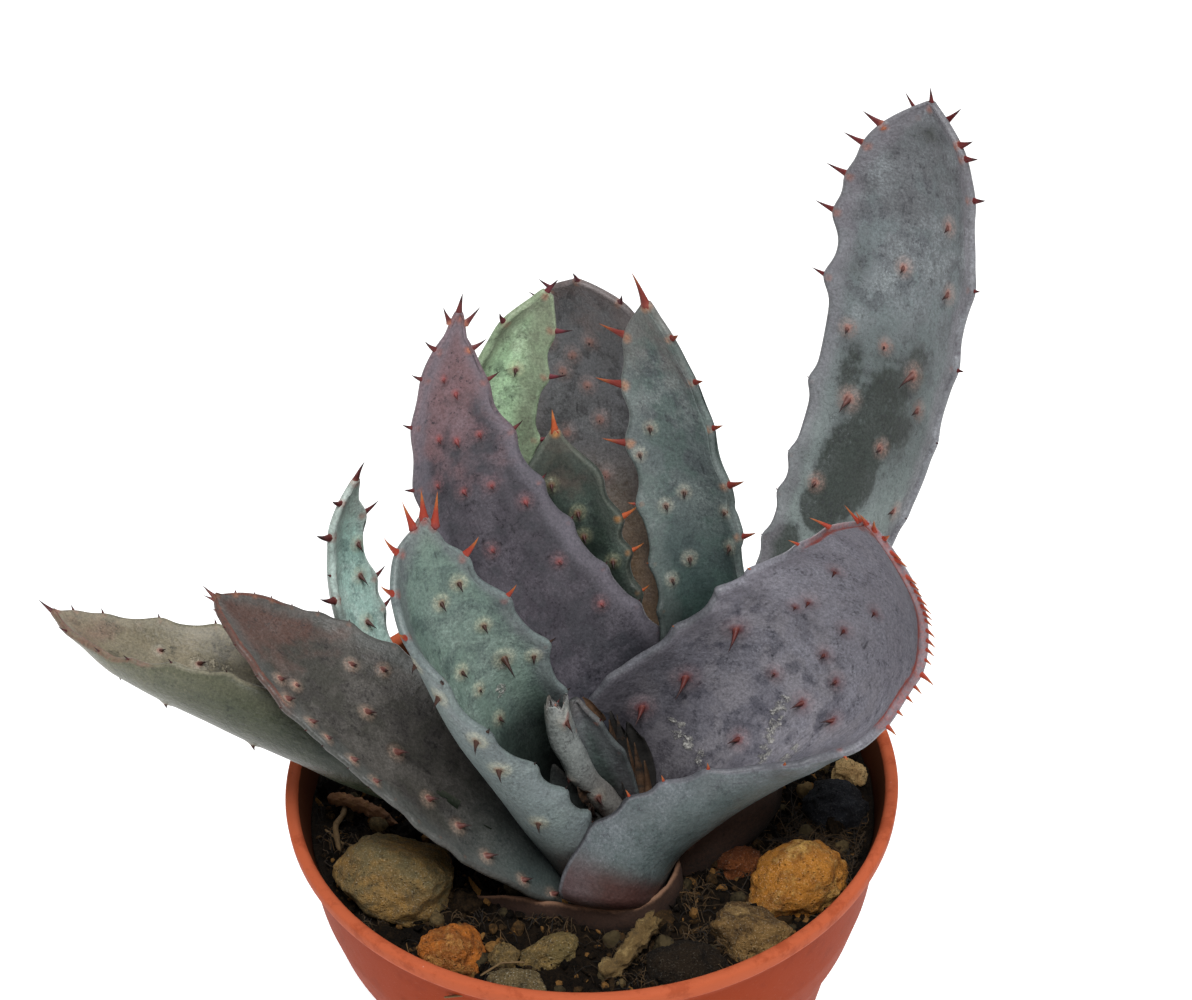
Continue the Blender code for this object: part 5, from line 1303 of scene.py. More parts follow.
def build_crumbs(count, size, dark, light, draw):
    """Crumbs of peat and grit, loose on the soil."""
    small = lump(1)
    large = lump(2)
    clear = [(*CROWN, 5.5)] + stone_clearings(0.75)
    heap = Heap()
    for k in range(count):
        x, y = free_place(draw, inner_radius(SOIL_TOP) - 0.9, clear)
        radius = size * (0.2 + 0.5 * draw.random() ** 3.0) * (2.3 if k % 23 == 0 and k % 6 else 1.0)
        sphere, triangles = large if radius > 0.42 * size else small
        seed = Vector(draw.uniform(-50, 50, 3))
        push = np.array([1 + 0.55 * noise.noise(Vector(p) * 1.6 + seed) for p in sphere])
        stretch = draw.uniform(0.6, 1.3, 3)
        if k % 6 == 0:
            stretch = np.array((draw.uniform(1.6, 3.6), draw.uniform(0.5, 0.9), draw.uniform(0.3, 0.6)))
        turn = np.array(Matrix.Rotation(draw.uniform(0, TURN), 3, Vector(draw.normal(size=3)).normalized()))
        centre = np.array((x, y, soil_level(x, y) + radius * draw.uniform(0.0, 0.55)))
        tone = draw.choice((0.02, 0.14, 0.32, 0.55, 0.85), p=(0.38, 0.20, 0.17, 0.14, 0.11))
        heap.add((sphere * push[:, None] * stretch * radius) @ turn.T + centre, triangles,
                 tone + draw.uniform(-0.05, 0.08))
    crumb = litter("peat_crumbs", dark, (0.036, 0.021, 0.009), light, 0.4, relief=0.3, shine=0.12)
    return heap.settle("soil_crumbs", crumb, "soil", smooth=False)


def tube(path, radii, sides):
    """Closed tube along a path: its points and faces."""
    path = np.asarray(path, float)
    ahead = unit(np.gradient(path, axis=0))
    level = np.cross(ahead, (0.0, 0.0, 1.0))
    level = np.where(np.linalg.norm(level, axis=1, keepdims=True) < 0.05, (1.0, 0.0, 0.0), level)
    side = unit(level - ahead * np.sum(level * ahead, axis=1, keepdims=True))
    up = np.cross(side, ahead)
    turns = np.arange(sides) * 2 * np.pi / sides
    ring = side[:, None] * np.cos(turns)[None, :, None] + up[:, None] * np.sin(turns)[None, :, None]
    points = (path[:, None] + ring * np.asarray(radii, float)[:, None, None]).reshape(-1, 3)
    return points, tube_faces(len(path), sides)


def way_of(turn):
    """Level direction of an angle."""
    return np.array((math.cos(turn), math.sin(turn)))


def wander(draw, start, heading, length, bend, steps, lift):
    """Path of a root fibre that lies on the soil and lifts off it here and there."""
    place = np.array(start, float)
    path = []
    phase = draw.uniform(0, TURN)
    height = draw.uniform(0.3, 1.0) * lift
    for k in range(steps):
        share = k / (steps - 1)
        rise = 0.12 + height * max(0.0, math.sin(math.pi * share + 0.5 * math.sin(phase + 5 * share)))
        path.append((place[0], place[1], soil_level(place[0], place[1]) + rise))
        heading += draw.normal(0, bend)
        ahead = place + length / steps * way_of(heading)
        if math.hypot(*ahead) > inner_radius(SOIL_TOP) - 0.6:
            heading += math.pi / 2
            ahead = place + length / steps * way_of(heading)
            if math.hypot(*ahead) > inner_radius(SOIL_TOP) - 0.6:
                ahead = place * 0.97
        place = ahead
    path = np.array(path)
    path[1:-1] = (path[:-2] + 2 * path[1:-1] + path[2:]) / 4
    return path


# Middle and reach of the tangle of long fibres and of each tuft of short ones on the soil.
TANGLE = (25.5, -8.5, 4.5)
TUFTS = (
    (2.0, -27.2, 1.5), (5.0, -24.0, 1.6), (9.0, -23.6, 2.6), (11.8, -22.3, 1.8), (10.4, -17.6, 2.0),
    (4.8, -23.9, 2.4), (14.6, -25.6, 2.6), (12.0, -13.5, 2.4), (-29.0, -6.0, 2.2), (-13.5, -19.5, 2.4),
    (-3.0, -22.0, 2.2), (21.0, -10.5, 2.6), (4.6, -27.4, 2.2), (27.0, -14.5, 2.4), (-24.0, -20.0, 2.6),
    (-6.0, -18.8, 1.6),
)


def build_gravel(count, draw):
    """Small stones that lie loose among the crumbs."""
    sphere, triangles = lump(3)
    clear = [(*CROWN, 6.0)] + stone_clearings(0.9)
    heap = Heap()
    for k in range(count):
        x, y = free_place(draw, inner_radius(SOIL_TOP) - 1.6, clear)
        radius = draw.uniform(0.45, 0.95) if k % 4 else draw.uniform(0.9, 1.35)
        seed = Vector(draw.uniform(-50, 50, 3))
        push = np.array([1 + 0.30 * noise.noise(Vector(p) * 1.3 + seed)
                         + 0.14 * noise.noise(Vector(p) * 3.4 + seed)
                         + 0.07 * noise.noise(Vector(p) * 8.0 + seed) for p in sphere])
        turn = np.array(Matrix.Rotation(draw.uniform(0, TURN), 3, Vector(draw.normal(size=3)).normalized()))
        points = (sphere * push[:, None] * draw.uniform(0.65, 1.25, 3) * radius) @ turn.T
        heap.add(points + (x, y, soil_level(x, y) + 0.35 * radius), triangles,
                 draw.choice((0.25, 0.45, 0.65, 0.9, 1.05), p=(0.35, 0.3, 0.2, 0.1, 0.05)))
    grit = litter("gravel_grit", (0.022, 0.017, 0.009), (0.075, 0.055, 0.025), (0.26, 0.17, 0.07), 0.35,
                  relief=0.35, shine=0.2)
    return heap.settle("soil_gravel", grit, "soil")


def build_fibres(count, girth, light, draw):
    """Fine roots and peat fibres on the soil, most of them dark, with tangles and tufts in a few places."""
    heap = Heap()
    clear = [(*CROWN, 6.5)]
    for k in range(count):
        if k % 5 == 0:
            turn = draw.uniform(0, TURN)
            start = np.array(TANGLE[:2]) + TANGLE[2] * math.sqrt(draw.random()) * way_of(turn)
            length, bend, lift, tone = draw.uniform(3, 8), 0.12, 1.3, draw.uniform(0.0, 0.62)
        elif k % 5 in (1, 3):
            x, y, far = TUFTS[k // 5 % len(TUFTS)]
            turn = draw.uniform(0, TURN)
            start = np.array((x, y)) + far * math.sqrt(draw.random()) * way_of(turn)
            length, bend, lift, tone = draw.uniform(0.8, 2.6), 0.07, 1.1, draw.uniform(0.0, 0.68)
        else:
            start = np.array(free_place(draw, inner_radius(SOIL_TOP) - 1.2, clear))
            length, bend, lift = draw.uniform(1.0, 6.5), 0.13, 0.8
            tone = draw.choice((0.05, 0.2, 0.42, 0.7), p=(0.35, 0.3, 0.25, 0.10))
        path = wander(draw, start, draw.uniform(0, TURN), length, bend, 8, lift)
        radius = girth * draw.uniform(0.35, 1.0)
        radii = radius * np.append(np.linspace(1.0, 0.55, 7), 0.25)
        heap.add(*tube(path, radii, 4), tone)
    hair = litter("root_fibres", PEAT_DARK, (0.060, 0.034, 0.012), light, 0.2, relief=0.05)
    return heap.settle("soil_fibres", hair, "soil")


# How angular each stone is, and its finish: main, second, crust, crust share, speck share and gloss.
ROCKS = {
    "stone_olive": (1.0, (0.165, 0.130, 0.062), (0.068, 0.070, 0.050), (0.42, 0.235, 0.062), 1.15, 0.3, 0.2),
    "stone_orange": (0.6, (0.52, 0.160, 0.024), (0.26, 0.080, 0.016), (0.64, 0.32, 0.09), 0.6, 0.15, 0.1),
    "stone_moss": (0.8, (0.165, 0.120, 0.046), (0.070, 0.054, 0.026), (0.40, 0.25, 0.08), 0.9, 0.3, 0.15),
    "stone_pea": (0.5, (0.19, 0.125, 0.048), (0.090, 0.064, 0.030), (0.38, 0.24, 0.08), 0.8, 0.2, 0.15),
    "stone_speckled": (0.8, (0.165, 0.120, 0.055), (0.060, 0.046, 0.024), (0.36, 0.25, 0.11), 0.7, 0.5, 0.15),
    "stone_ochre": (0.7, (0.52, 0.21, 0.032), (0.27, 0.10, 0.018), (0.68, 0.40, 0.11), 0.7, 0.3, 0.1),
    "stone_brown": (1.0, (0.25, 0.145, 0.050), (0.10, 0.058, 0.024), (0.36, 0.23, 0.09), 0.5, 0.3, 0.2),
    "stone_slate": (0.3, (0.020, 0.022, 0.028), (0.012, 0.012, 0.015), (0.05, 0.05, 0.06), 0.2, 0.1, 0.4),
    "stone_rust": (0.5, (0.20, 0.06, 0.016), (0.11, 0.032, 0.010), (0.34, 0.14, 0.04), 0.4, 0.2, 0.1),
    "stone_cream": (0.1, (0.62, 0.42, 0.19), (0.48, 0.29, 0.12), (0.68, 0.52, 0.30), 0.3, 0.1, 0.3),
    "clod": (0.5, (0.020, 0.012, 0.006), (0.009, 0.006, 0.004), (0.07, 0.035, 0.014), 0.3, 0.1, 0.0),
}


# How much each stone is drawn out past the model's smooth lump, which its flats then cut back.
STRETCH = {"stone_olive": (0.98, 1.05, 1.22), "stone_orange": (1.12, 1.1, 1.15),
           "stone_ochre": (1.0, 1.04, 1.08)}


def build_stone(name, detail, roughness):
    """One stone: the rounded lump that the model has, with flats, ridges and a grainy surface."""
    centre, half, turn = STONES[name]
    angular, main, second, crust, crust_share, specks, gloss = ROCKS[name]
    sphere, faces = lump(detail)
    seed = Vector((sum(map(ord, name)) * 0.37, 1.7, 4.2))
    flats = unit(np.array([[noise.noise(seed + Vector((k * 3.7, k + shift, -k)))
                            for shift in (0.0, 17.3, 41.9)]
                           for k in range(16)]))
    depths = [0.86 + 0.10 * math.sin(k * 2.3) for k in range(len(flats))]
    reach = np.multiply(half, STRETCH.get(name, (1.05, 1.05, 1.05)))
    small = min(half)
    points = []
    for way in sphere:
        spot = Vector(way)
        far = 1.0 + 0.16 * noise.noise(spot * 1.3 + seed) + 0.07 * noise.noise(spot * 3.1 + seed)
        far = min(far, 1.03 + 0.04 * noise.noise(spot * 2.0 - seed))
        facet = min(depth / max(0.2, float(way @ flat)) for flat, depth in zip(flats, depths))
        far += angular * min(0.0, facet - far)
        size = spot * small
        rough = 0.34 * noise.noise(size * 0.45 - seed) + 0.26 * noise.noise(size * 1.0 + seed)
        rough += 0.20 * noise.noise(size * 2.2 + seed) + 0.12 * noise.noise(size * 4.5 - seed)
        rough += 0.07 * noise.noise(size * 9.0 + seed)
        points.append(way * reach * far + way * rough * roughness)
    spin_by = math.radians(turn)
    cosine, sine = math.cos(spin_by), math.sin(spin_by)
    turned = np.array(((cosine, sine, 0), (-sine, cosine, 0), (0, 0, 1)))
    points = np.array(points) @ turned + np.array(centre)
    rock = new_material(name + "_rock", "Rock", {
        "Main": main, "Second": second, "Crust": crust, "Crust Share": crust_share, "Speck Share": specks,
        "Gloss": gloss}, relief=0.7, shine=0.2)
    made = new_mesh_object("fine_" + name, points, faces, (rock,))
    return settle(made, name, name)


def build_stick(path, girth, sides, tone, draw, crust=1.0, flat=1.0):
    """Bent stick with knots, bark ridges and broken ends. Crust is how lumpy it is and flat how thick."""
    path = np.asarray(path, float)
    count = 46
    share = np.linspace(0, len(path) - 1, count)
    fine = np.stack([np.interp(share, range(len(path)), path[:, axis]) for axis in range(3)], axis=1)
    for _ in range(5):
        fine[1:-1] = (fine[:-2] + 2 * fine[1:-1] + fine[2:]) / 4
    points, faces = tube(fine, np.full(len(fine), girth), sides)
    middle = np.repeat(fine, sides, axis=0)
    ridges = np.array([1 + 0.14 * math.sin(k % sides * 2.4 + 0.15 * (k // sides))
                       for k in range(len(points))])
    rough = 1 + crust * (0.24 * noise_at(points, 0.9, 3.0) + 0.16 * noise_at(points, 2.6, 8.0))
    after, before = np.arange(count), np.arange(count)[::-1]
    ends = np.repeat(1 - 0.5 * np.exp(-np.minimum(after, before) / 1.6), sides)
    torn = np.repeat(unit(np.gradient(fine, axis=0)) * np.exp(-before / 2.5)[:, None], sides, axis=0)
    points = middle + (points - middle) * (ridges * rough * ends)[:, None] * (1, 1, flat)
    points += torn * (crust * 0.8 * noise_at(points, 1.7, 5.0))[:, None]
    shade = np.clip(tone + 0.35 * noise_at(points, 0.7, 11.0) + draw.uniform(-0.02, 0.02, len(points)), 0, 1)
    return points, faces, shade


def build_scraps():
    """Dried strips of old leaf skin, caught in the heart of the plant and at its foot. The two wide
    near-black strips are painted shade that fills the hollow of the heart.
    """
    strips = (
        ((6.0, -10.6, 62.0), (5.5, -8.9, 66.5), (4.9, -7.6, 72.0), 1.1, 0.32),
        ((5.2, -10.6, 62.0), (4.7, -8.9, 66.2), (4.1, -7.5, 72.8), 0.9, 0.5),
        ((6.7, -10.9, 62.4), (6.3, -9.3, 66.0), (5.9, -8.2, 70.4), 0.9, 0.4),
        ((4.6, -10.4, 62.0), (4.0, -8.8, 67.6), (3.1, -7.3, 75.6), 1.3, 0.14),
        ((3.8, -10.2, 62.0), (3.1, -8.4, 68.0), (2.2, -6.9, 75.0), 1.5, 0.26),
        # Painted shade: these two wide near-black strips darken the hollow in the heart of the plant.
        ((5.8, -9.4, 63.0), (5.0, -7.4, 69.0), (4.2, -6.0, 74.0), 3.6, -0.4),
        ((4.4, -9.2, 63.0), (3.4, -7.2, 69.0), (2.4, -5.8, 75.0), 3.6, -0.4),
        ((1.6, -7.6, 75.4), (0.9, -7.9, 77.2), (-0.4, -7.4, 78.6), 1.0, 0.55),
        ((0.6, -10.8, 66.0), (-0.6, -12.0, 68.4), (-1.4, -12.2, 70.2), 1.3, 0.3),
        ((0.4, -10.9, 64.6), (-0.2, -12.4, 66.0), (-0.2, -13.0, 68.6), 0.7, 0.2),
        ((-3.0, -16.6, 60.6), (-0.6, -17.0, 61.6), (1.4, -16.2, 63.4), 1.0, 0.2),
        ((2.2, -12.6, 61.4), (0.6, -14.8, 62.4), (-2.2, -15.6, 61.4), 1.5, 0.24),
        ((1.0, -12.8, 60.6), (-0.8, -14.6, 61.0), (-3.0, -15.0, 60.4), 1.0, 0.8),
        ((-8.0, -13.8, 61.0), (-9.4, -15.4, 62.6), (-10.6, -14.6, 64.8), 0.9, 0.25),
    )
    across = np.linspace(-1, 1, 9)
    heap = Heap()
    for start, middle, end, width, tone in strips:
        a, b, c = (np.array(place) for place in (start, middle, end))
        steps = np.linspace(0, 1, 26)[:, None]
        path = a * (1 - steps) ** 2 + 2 * b * steps * (1 - steps) + c * steps ** 2
        ahead = unit(np.gradient(path, axis=0))
        side = unit(np.cross(ahead, (0.25, -1.0, 0.35)))
        front = np.cross(side, ahead)
        curl = 1.1 + 0.5 * np.sin(steps[:, 0] * 5 + tone * 9)
        taper = width * (0.35 + 0.65 * np.sin(np.pi * (0.12 + 0.8 * steps[:, 0]))) * 0.5
        taper = taper * np.clip((1.02 - steps[:, 0]) / 0.22, 0.02, 1) ** 0.7
        angle = across[None, :] * curl[:, None]
        spread = taper[:, None] * np.sin(angle) / curl[:, None] * 1.2
        sheet = path[:, None] + side[:, None] * spread[..., None]
        sheet = sheet + front[:, None] * (taper[:, None] * (1 - np.cos(angle)))[..., None]
        shape = (len(steps), len(across))
        ragged = noise_at(sheet, 1.3, 4.0).reshape(shape)[..., None]
        torn = 0.6 * noise_at(sheet * (1, 1, 0.2), 2.2, 7.0).reshape(shape) * smooth_step(steps, 0.6, 1.0)
        sheet = sheet + ahead[:, None] * torn[..., None]
        sheet = sheet + front[:, None] * ragged * 0.22
        back = sheet - front[:, None] * 0.09
        points = np.concatenate([sheet, back[:, ::-1]], axis=1).reshape(-1, 3)
        heap.add(points, tube_faces(len(steps), 2 * len(across)),
                 np.clip(tone + 0.3 * noise_at(points, 1.1, 6.0), 0, 1))
    # Its darkest tone also serves the painted shade of the two wide strips.
    dry = litter("dried_skin", (0.006, 0.005, 0.004), (0.070, 0.034, 0.014), (0.15, 0.062, 0.022), 0.3,
                 relief=0.1)
    return heap.settle("dried_scraps", dry, "moss_stem")


# Each collar of old leaf base: the places of its edge, how far it hangs, how far it bulges and its shade.
COLLARS = (
    (((-14.0, -15.2, 58.9), (-8.8, -17.4, 59.3), (-4.6, -18.9, 59.6), (-0.8, -20.2, 60.1),
     (2.8, -20.9, 60.2), (5.8, -20.3, 60.6), (8.0, -18.2, 61.0), (9.2, -16.0, 61.6), (9.4, -13.8, 62.0)),
     4.2, 0.40, 0.5),
    (((8.2, -13.6, 61.0), (12.0, -11.8, 62.6), (15.8, -9.8, 64.0), (18.8, -7.4, 65.4), (21.2, -4.4, 66.6)),
     6.4, 1.1, 0.42),
)


def build_sheath():
    """Brown bases of old leaves, which clasp the foot of the plant as thin standing collars."""
    heap = Heap()
    for edge, drop, bulge, tone in COLLARS:
        share = np.linspace(0, len(edge) - 1, 90)
        top = np.stack([np.interp(share, range(len(edge)), row) for row in zip(*edge)], axis=1)
        for _ in range(40):
            top[1:-1] = (top[:-2] + 2 * top[1:-1] + top[2:]) / 4
        ahead = unit(np.gradient(top, axis=0))
        out = unit(np.cross(ahead, (0.0, 0.0, 1.0)))
        top = top + (0, 0, 1) * (0.3 * noise_at(top, 0.5, 3.0))[:, None]
        fade = smooth_step(share, 0.0, 1.2) * smooth_step(share, len(edge) - 1.0, len(edge) - 1.9)
        fade = fade[:, None]
        section = [(0.0, 0.0, 1.1), (0.14, -0.06, 1.0), (0.26, -0.22, 0.75)]
        section += [(0.26 + bulge * math.sin(2.6 * k), -0.22 - (drop - 0.22) * k, tone * (1 - 0.8 * k))
                    for k in (0.08, 0.2, 0.4, 0.6, 0.8, 1.0)]
        section += [(across - 0.55, rise, 0.1) for across, rise, _ in section[:2:-1]] + [(-0.24, -0.2, 0.6)]
        section.append((-0.12, -0.04, 1.0))
        points = np.stack([top + out * across * (0.3 + 0.7 * fade) + (0, 0, 1) * (rise - 1.2 * (1 - fade))
                           for across, rise, _ in section], axis=1)
        around = len(section)
        flat = points.reshape(-1, 3)
        flat = flat + 0.14 * noise_at(flat, 0.8, 6.0)[:, None] * np.repeat(out, around, axis=0)
        heap.add(flat, tube_faces(len(top), around), np.tile([value for _, _, value in section], len(top)))
    skin = litter("sheath_skin", (0.010, 0.006, 0.004), (0.042, 0.018, 0.010), (0.18, 0.092, 0.052), 0.3,
                  relief=0.1)
    return heap.settle("dried_sheath", skin, "moss_stem")


def build_litter(draw):
    """The twig, the mossy stem and the straws that lie by them."""
    points, faces, shade = build_stick(TWIG, 0.72, 26, 0.5, draw, 2.3, 0.7)
    bark = litter("bark", (0.045, 0.018, 0.008), (0.19, 0.080, 0.028), (0.44, 0.24, 0.09), 0.6, relief=0.25)
    piece = new_mesh_object("fine_twig", points, faces, (bark,), attributes={"shade": shade})
    settle(piece, "twig", "twig")
    points, faces, shade = build_stick(MOSS_STEM, 1.0, 30, 0.5, draw, 2.0)
    moss = litter("moss_stem_bark", (0.026, 0.018, 0.007), (0.15, 0.090, 0.026), (0.54, 0.38, 0.15), 0.9,
                  relief=0.35)
    piece = new_mesh_object("fine_moss_stem", points, faces, (moss,), attributes={"shade": shade})
    settle(piece, "moss_stem", "moss_stem")
    heap = Heap()
    for path, girth, tone in STRAWS:
        straw = np.array([(x, y, soil_level(x, y) + rise) for x, y, rise in path])
        points, faces, _ = build_stick(straw, girth, 8, tone, draw)
        heap.add(points, faces, np.clip(tone + 0.2 * noise_at(points, 0.8, 2.0), 0, 1))
    dry = litter("straw", (0.05, 0.03, 0.012), (0.15, 0.09, 0.036), (0.38, 0.27, 0.12), 0.4, relief=0.1)
    heap.settle("straws", dry, "twig")


def build_stem(around):
    """Dry brown stem that the leaf bases clasp."""
    profile = [(0.0, STEM[0][0])]
    heights = [height for height, _ in STEM][::-1]
    radii = [radius for _, radius in STEM][::-1]
    for height in np.linspace(STEM[0][0], STEM[-1][0], 40):
        profile.append((float(np.interp(height, heights, radii)), height))
    profile.append((0.0, STEM[-1][0]))
    points, faces = spin(profile, around, CROWN)
    middle = np.stack([np.full(len(points), CROWN[0]), np.full(len(points), CROWN[1]), points[:, 2]], axis=1)
    rough = 0.96 + 0.05 * noise_at(points, 0.5, 2.0) + 0.03 * noise_at(points * (1, 1, 3), 1.2, 7.0)
    points = middle + (points - middle) * rough[:, None]
    shade = np.clip(0.4 + 0.5 * noise_at(points * (1, 1, 3), 0.5, 5.0), 0, 1)
    bark = litter("stem_bark", (0.05, 0.018, 0.014), (0.13, 0.055, 0.04), (0.30, 0.17, 0.10), 0.4, relief=0.3)
    made = new_mesh_object("fine_stem", points, faces, (bark,), attributes={"shade": shade})
    return settle(made, "stem", "stem")


def soft_light(name, place, target, size, power, colour=(1.0, 1.0, 1.0)):
    light = bpy.data.lights.new(name, "AREA")
    light.shape = "DISK"
    light.size = size
    light.energy = power
    light.color = colour
    made = bpy.data.objects.new(name, light)
    made.location = place
    made.rotation_euler = (Vector(target) - Vector(place)).to_track_quat("-Z", "Y").to_euler()
    bpy.context.scene.collection.objects.link(made)
    return made


def build_stage(floor_colour, sky, key, fill):
    """Pale floor, soft light from all round with a little more from the right, and the camera."""
    material = bpy.data.materials.new("floor_paper")
    material.use_nodes = True
    shader = material.node_tree.nodes["Principled BSDF"]
    shader.inputs["Base Color"].default_value = (*floor_colour, 1.0)
    shader.inputs["Roughness"].default_value = 0.9
    shader.inputs["Emission Color"].default_value = (1.0, 1.0, 1.0, 1.0)
    shader.inputs["Emission Strength"].default_value = 0.7
    half = 8.0
    mesh = bpy.data.meshes.new("floor")
    corners = [(-half, -half, 0.0), (half, -half, 0.0), (half, half, 0.0), (-half, half, 0.0)]
    mesh.from_pydata(corners, [], [(0, 1, 2, 3)])
    mesh.materials.append(material)
    floor = bpy.data.objects.new("floor", mesh)
    bpy.context.scene.collection.objects.link(floor)
    world = bpy.data.worlds.new("studio")
    world.use_nodes = True
    backdrop = world.node_tree.nodes["Background"]
    backdrop.inputs["Color"].default_value = (1.0, 1.0, 1.0, 1.0)
    backdrop.inputs["Strength"].default_value = sky
    bpy.context.scene.world = world
    soft_light("key_light", (0.04, -0.26, 0.76), (0.0, 0.0, 0.07), 0.4, key)
    soft_light("back_light", (0.10, 0.55, 0.60), (0.0, 0.0, 0.08), 0.5, fill)
    bpy.context.scene.view_settings.view_transform = "Standard"
    right, up, back = CAMERA_AXES
    data = bpy.data.cameras.new("photo_view")
    data.sensor_width = 36.0
    data.lens = CAMERA_LENS
    data.clip_start = 0.01
    camera = bpy.data.objects.new("photo_view", data)
    turn = Matrix((right, up, back)).transposed().to_4x4()
    camera.matrix_world = Matrix.Translation(Vector(CAMERA_PLACE)) @ turn
    bpy.context.scene.collection.objects.link(camera)
    bpy.context.scene.camera = camera


class AloeLeafSettings(bpy.types.PropertyGroup):
    rings: bpy.props.IntProperty(name="Rings", description="Steps along each leaf", default=190, min=40,
                                 max=260)
    across: bpy.props.IntProperty(name="Across", description="Points across each face", default=56, min=16,
                                  max=72)
    seed: bpy.props.IntProperty(name="Seed", description="Seed of the thorns' small differences", default=7)


class AloePotSettings(bpy.types.PropertyGroup):
    colour: bpy.props.FloatVectorProperty(name="Plastic", description="Colour of the pot's plastic", size=3,
                                          subtype="COLOR", min=0.0, max=1.0, default=(0.285, 0.038, 0.009))
    gloss: bpy.props.FloatProperty(name="Gloss", description="Strength of the plastic's shine",
                                   default=0.03, min=0.0,
                                   max=1.0, subtype="FACTOR")
    around: bpy.props.IntProperty(name="Around", description="Steps round the pot", default=256, min=32,
                                  max=512)


class AloeSoilSettings(bpy.types.PropertyGroup):
    dark: bpy.props.FloatVectorProperty(name="Peat", description="Colour of damp peat", size=3,
                                        subtype="COLOR",
                                        min=0.0, max=1.0, default=(0.0036, 0.0024, 0.0015))
    light: bpy.props.FloatVectorProperty(name="Fibre", description="Colour of dry fibre and grit", size=3,
                                         subtype="COLOR", min=0.0, max=1.0, default=(0.24, 0.12, 0.036))
    crumbs: bpy.props.IntProperty(name="Crumbs", description="Number of loose crumbs", default=4200, min=0,
                                  max=8000)
    crumb_size: bpy.props.FloatProperty(name="Crumb size", description="Size of a middling crumb",
                                        default=0.001,
                                        min=0.0003, max=0.003, unit="LENGTH", precision=4)
    fibres: bpy.props.IntProperty(name="Fibres", description="Number of root fibres", default=1700, min=0,
                                  max=2000)
    fibre_girth: bpy.props.FloatProperty(name="Fibre girth", description="Radius of a root fibre",
                                         default=0.00008,
                                         min=0.00002, max=0.0005, unit="LENGTH", precision=5)


class AloeStoneSettings(bpy.types.PropertyGroup):
    detail: bpy.props.IntProperty(name="Detail", description="Subdivisions of each stone", default=5, min=3,
                                  max=6)
    roughness: bpy.props.FloatProperty(name="Roughness",
                                       description="Depth of the stones' grain in millimetres",
                                       default=1.0, min=0.0, max=2.0)


class AloeStageSettings(bpy.types.PropertyGroup):
    floor: bpy.props.FloatVectorProperty(name="Floor", description="Colour of the floor", size=3,
                                         subtype="COLOR",
                                         min=0.0, max=1.0, default=(0.75, 0.75, 0.75))
    sky: bpy.props.FloatProperty(name="Surroundings", description="Strength of the light from all round",
                                 default=0.26, min=0.0, max=3.0)
    key: bpy.props.FloatProperty(name="Key light", description="Power of the light at the right", default=5.6,
                                 min=0.0, max=50.0, unit="POWER")
    fill: bpy.props.FloatProperty(name="Back light", description="Power of the light behind", default=1.4,
                                  min=0.0, max=50.0, unit="POWER")


class ALOE_OT_leaves(bpy.types.Operator):
    """Build the thirteen leaves with their thorns"""
    bl_idname = "aloe.leaves"
    bl_label = "Leaves"

    def execute(self, context):
        settings = context.scene.aloe_leaves
        make_groups()
        draw = np.random.default_rng(settings.seed)
        whole = tree_of_all()
        for name in LEAVES:
            build_leaf(name, settings.rings, settings.across, draw, whole)
        return {"FINISHED"}


class ALOE_OT_stem(bpy.types.Operator):
    """Build the stem that carries the leaves"""
    bl_idname = "aloe.stem"
    bl_label = "Stem"

    def execute(self, context):
        make_groups()
        build_stem(around=96)
        return {"FINISHED"}


class ALOE_OT_pot(bpy.types.Operator):
    """Build the plastic pot"""
    bl_idname = "aloe.pot"
    bl_label = "Pot"

    def execute(self, context):
        settings = context.scene.aloe_pot
        make_groups()
        build_pot(settings.around, tuple(settings.colour), settings.gloss)
        return {"FINISHED"}


class ALOE_OT_soil(bpy.types.Operator):
    """Build the soil with its loose crumbs and root fibres"""
    bl_idname = "aloe.soil"
    bl_label = "Soil"

    def execute(self, context):
        settings = context.scene.aloe_soil
        make_groups()
        draw = np.random.default_rng(SOIL_SEED)
        dark, light = tuple(settings.dark), tuple(settings.light)
        build_soil(around=300, rings=110, dark=dark, light=light)
        build_crumbs(settings.crumbs, settings.crumb_size / MM, dark, light, draw)
        build_fibres(settings.fibres, settings.fibre_girth / MM, light, draw)
        build_gravel(count=90, draw=draw)
        return {"FINISHED"}


class ALOE_OT_stones(bpy.types.Operator):
    """Build the stones and the clod"""
    bl_idname = "aloe.stones"
    bl_label = "Stones"

    def execute(self, context):
        settings = context.scene.aloe_stones
        make_groups()
        for name in STONES:
            build_stone(name, settings.detail, settings.roughness)
        return {"FINISHED"}


class ALOE_OT_litter(bpy.types.Operator):
    """Build the twig, the mossy stem, the straws and the dried scraps"""
    bl_idname = "aloe.litter"
    bl_label = "Litter"

    def execute(self, context):
        make_groups()
        draw = np.random.default_rng(LITTER_SEED)
        build_litter(draw)
        build_scraps()
        build_sheath()
        return {"FINISHED"}


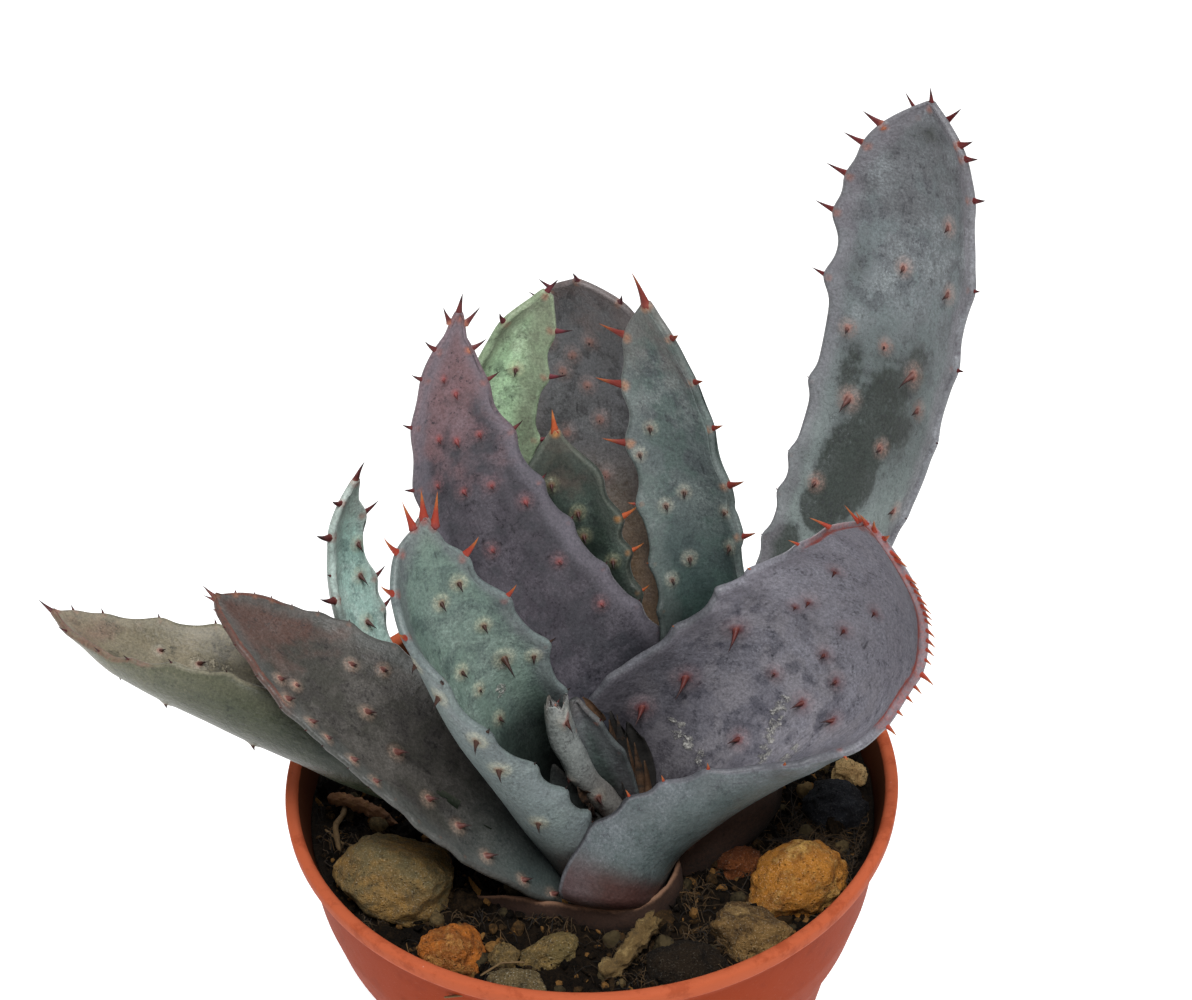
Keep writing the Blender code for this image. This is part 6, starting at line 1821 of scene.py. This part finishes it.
class ALOE_OT_stage(bpy.types.Operator):
    """Set the floor, the lights and the camera"""
    bl_idname = "aloe.stage"
    bl_label = "Stage"

    def execute(self, context):
        settings = context.scene.aloe_stage
        build_stage(tuple(settings.floor), settings.sky, settings.key, settings.fill)
        return {"FINISHED"}


class ALOE_PT_panel(bpy.types.Panel):
    """Lists the aloe's pieces and their settings"""
    bl_idname = "ALOE_PT_panel"
    bl_label = "Potted Aloe"
    bl_space_type = "VIEW_3D"
    bl_region_type = "UI"
    bl_category = "Aloe"

    def draw(self, context):
        scene = context.scene
        for settings, operators in PANEL_ROWS:
            box = self.layout.box()
            for operator in operators:
                box.operator(operator.bl_idname)
            if settings:
                group = getattr(scene, settings)
                for key in type(group).__annotations__:
                    box.prop(group, key)


SETTINGS = {"aloe_leaves": AloeLeafSettings, "aloe_pot": AloePotSettings, "aloe_soil": AloeSoilSettings,
            "aloe_stones": AloeStoneSettings, "aloe_stage": AloeStageSettings}
OPERATORS = (ALOE_OT_leaves, ALOE_OT_stem, ALOE_OT_pot, ALOE_OT_soil, ALOE_OT_stones, ALOE_OT_litter,
             ALOE_OT_stage)
PANEL_ROWS = (("aloe_leaves", (ALOE_OT_leaves, ALOE_OT_stem)), ("aloe_pot", (ALOE_OT_pot,)),
              ("aloe_soil", (ALOE_OT_soil,)), ("aloe_stones", (ALOE_OT_stones, ALOE_OT_litter)),
              ("aloe_stage", (ALOE_OT_stage,)))


def register():
    for item in (*SETTINGS.values(), *OPERATORS, ALOE_PT_panel):
        bpy.utils.register_class(item)
    for name, group in SETTINGS.items():
        setattr(bpy.types.Scene, name, bpy.props.PointerProperty(type=group))


def unregister():
    for name in SETTINGS:
        delattr(bpy.types.Scene, name)
    for item in reversed((*SETTINGS.values(), *OPERATORS, ALOE_PT_panel)):
        bpy.utils.unregister_class(item)


def main():
    register()
    bpy.ops.aloe.leaves()
    bpy.ops.aloe.stem()
    bpy.ops.aloe.pot()
    bpy.ops.aloe.soil()
    bpy.ops.aloe.stones()
    bpy.ops.aloe.litter()
    bpy.ops.aloe.stage()
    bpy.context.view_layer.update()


if __name__ == "__main__":
    main()
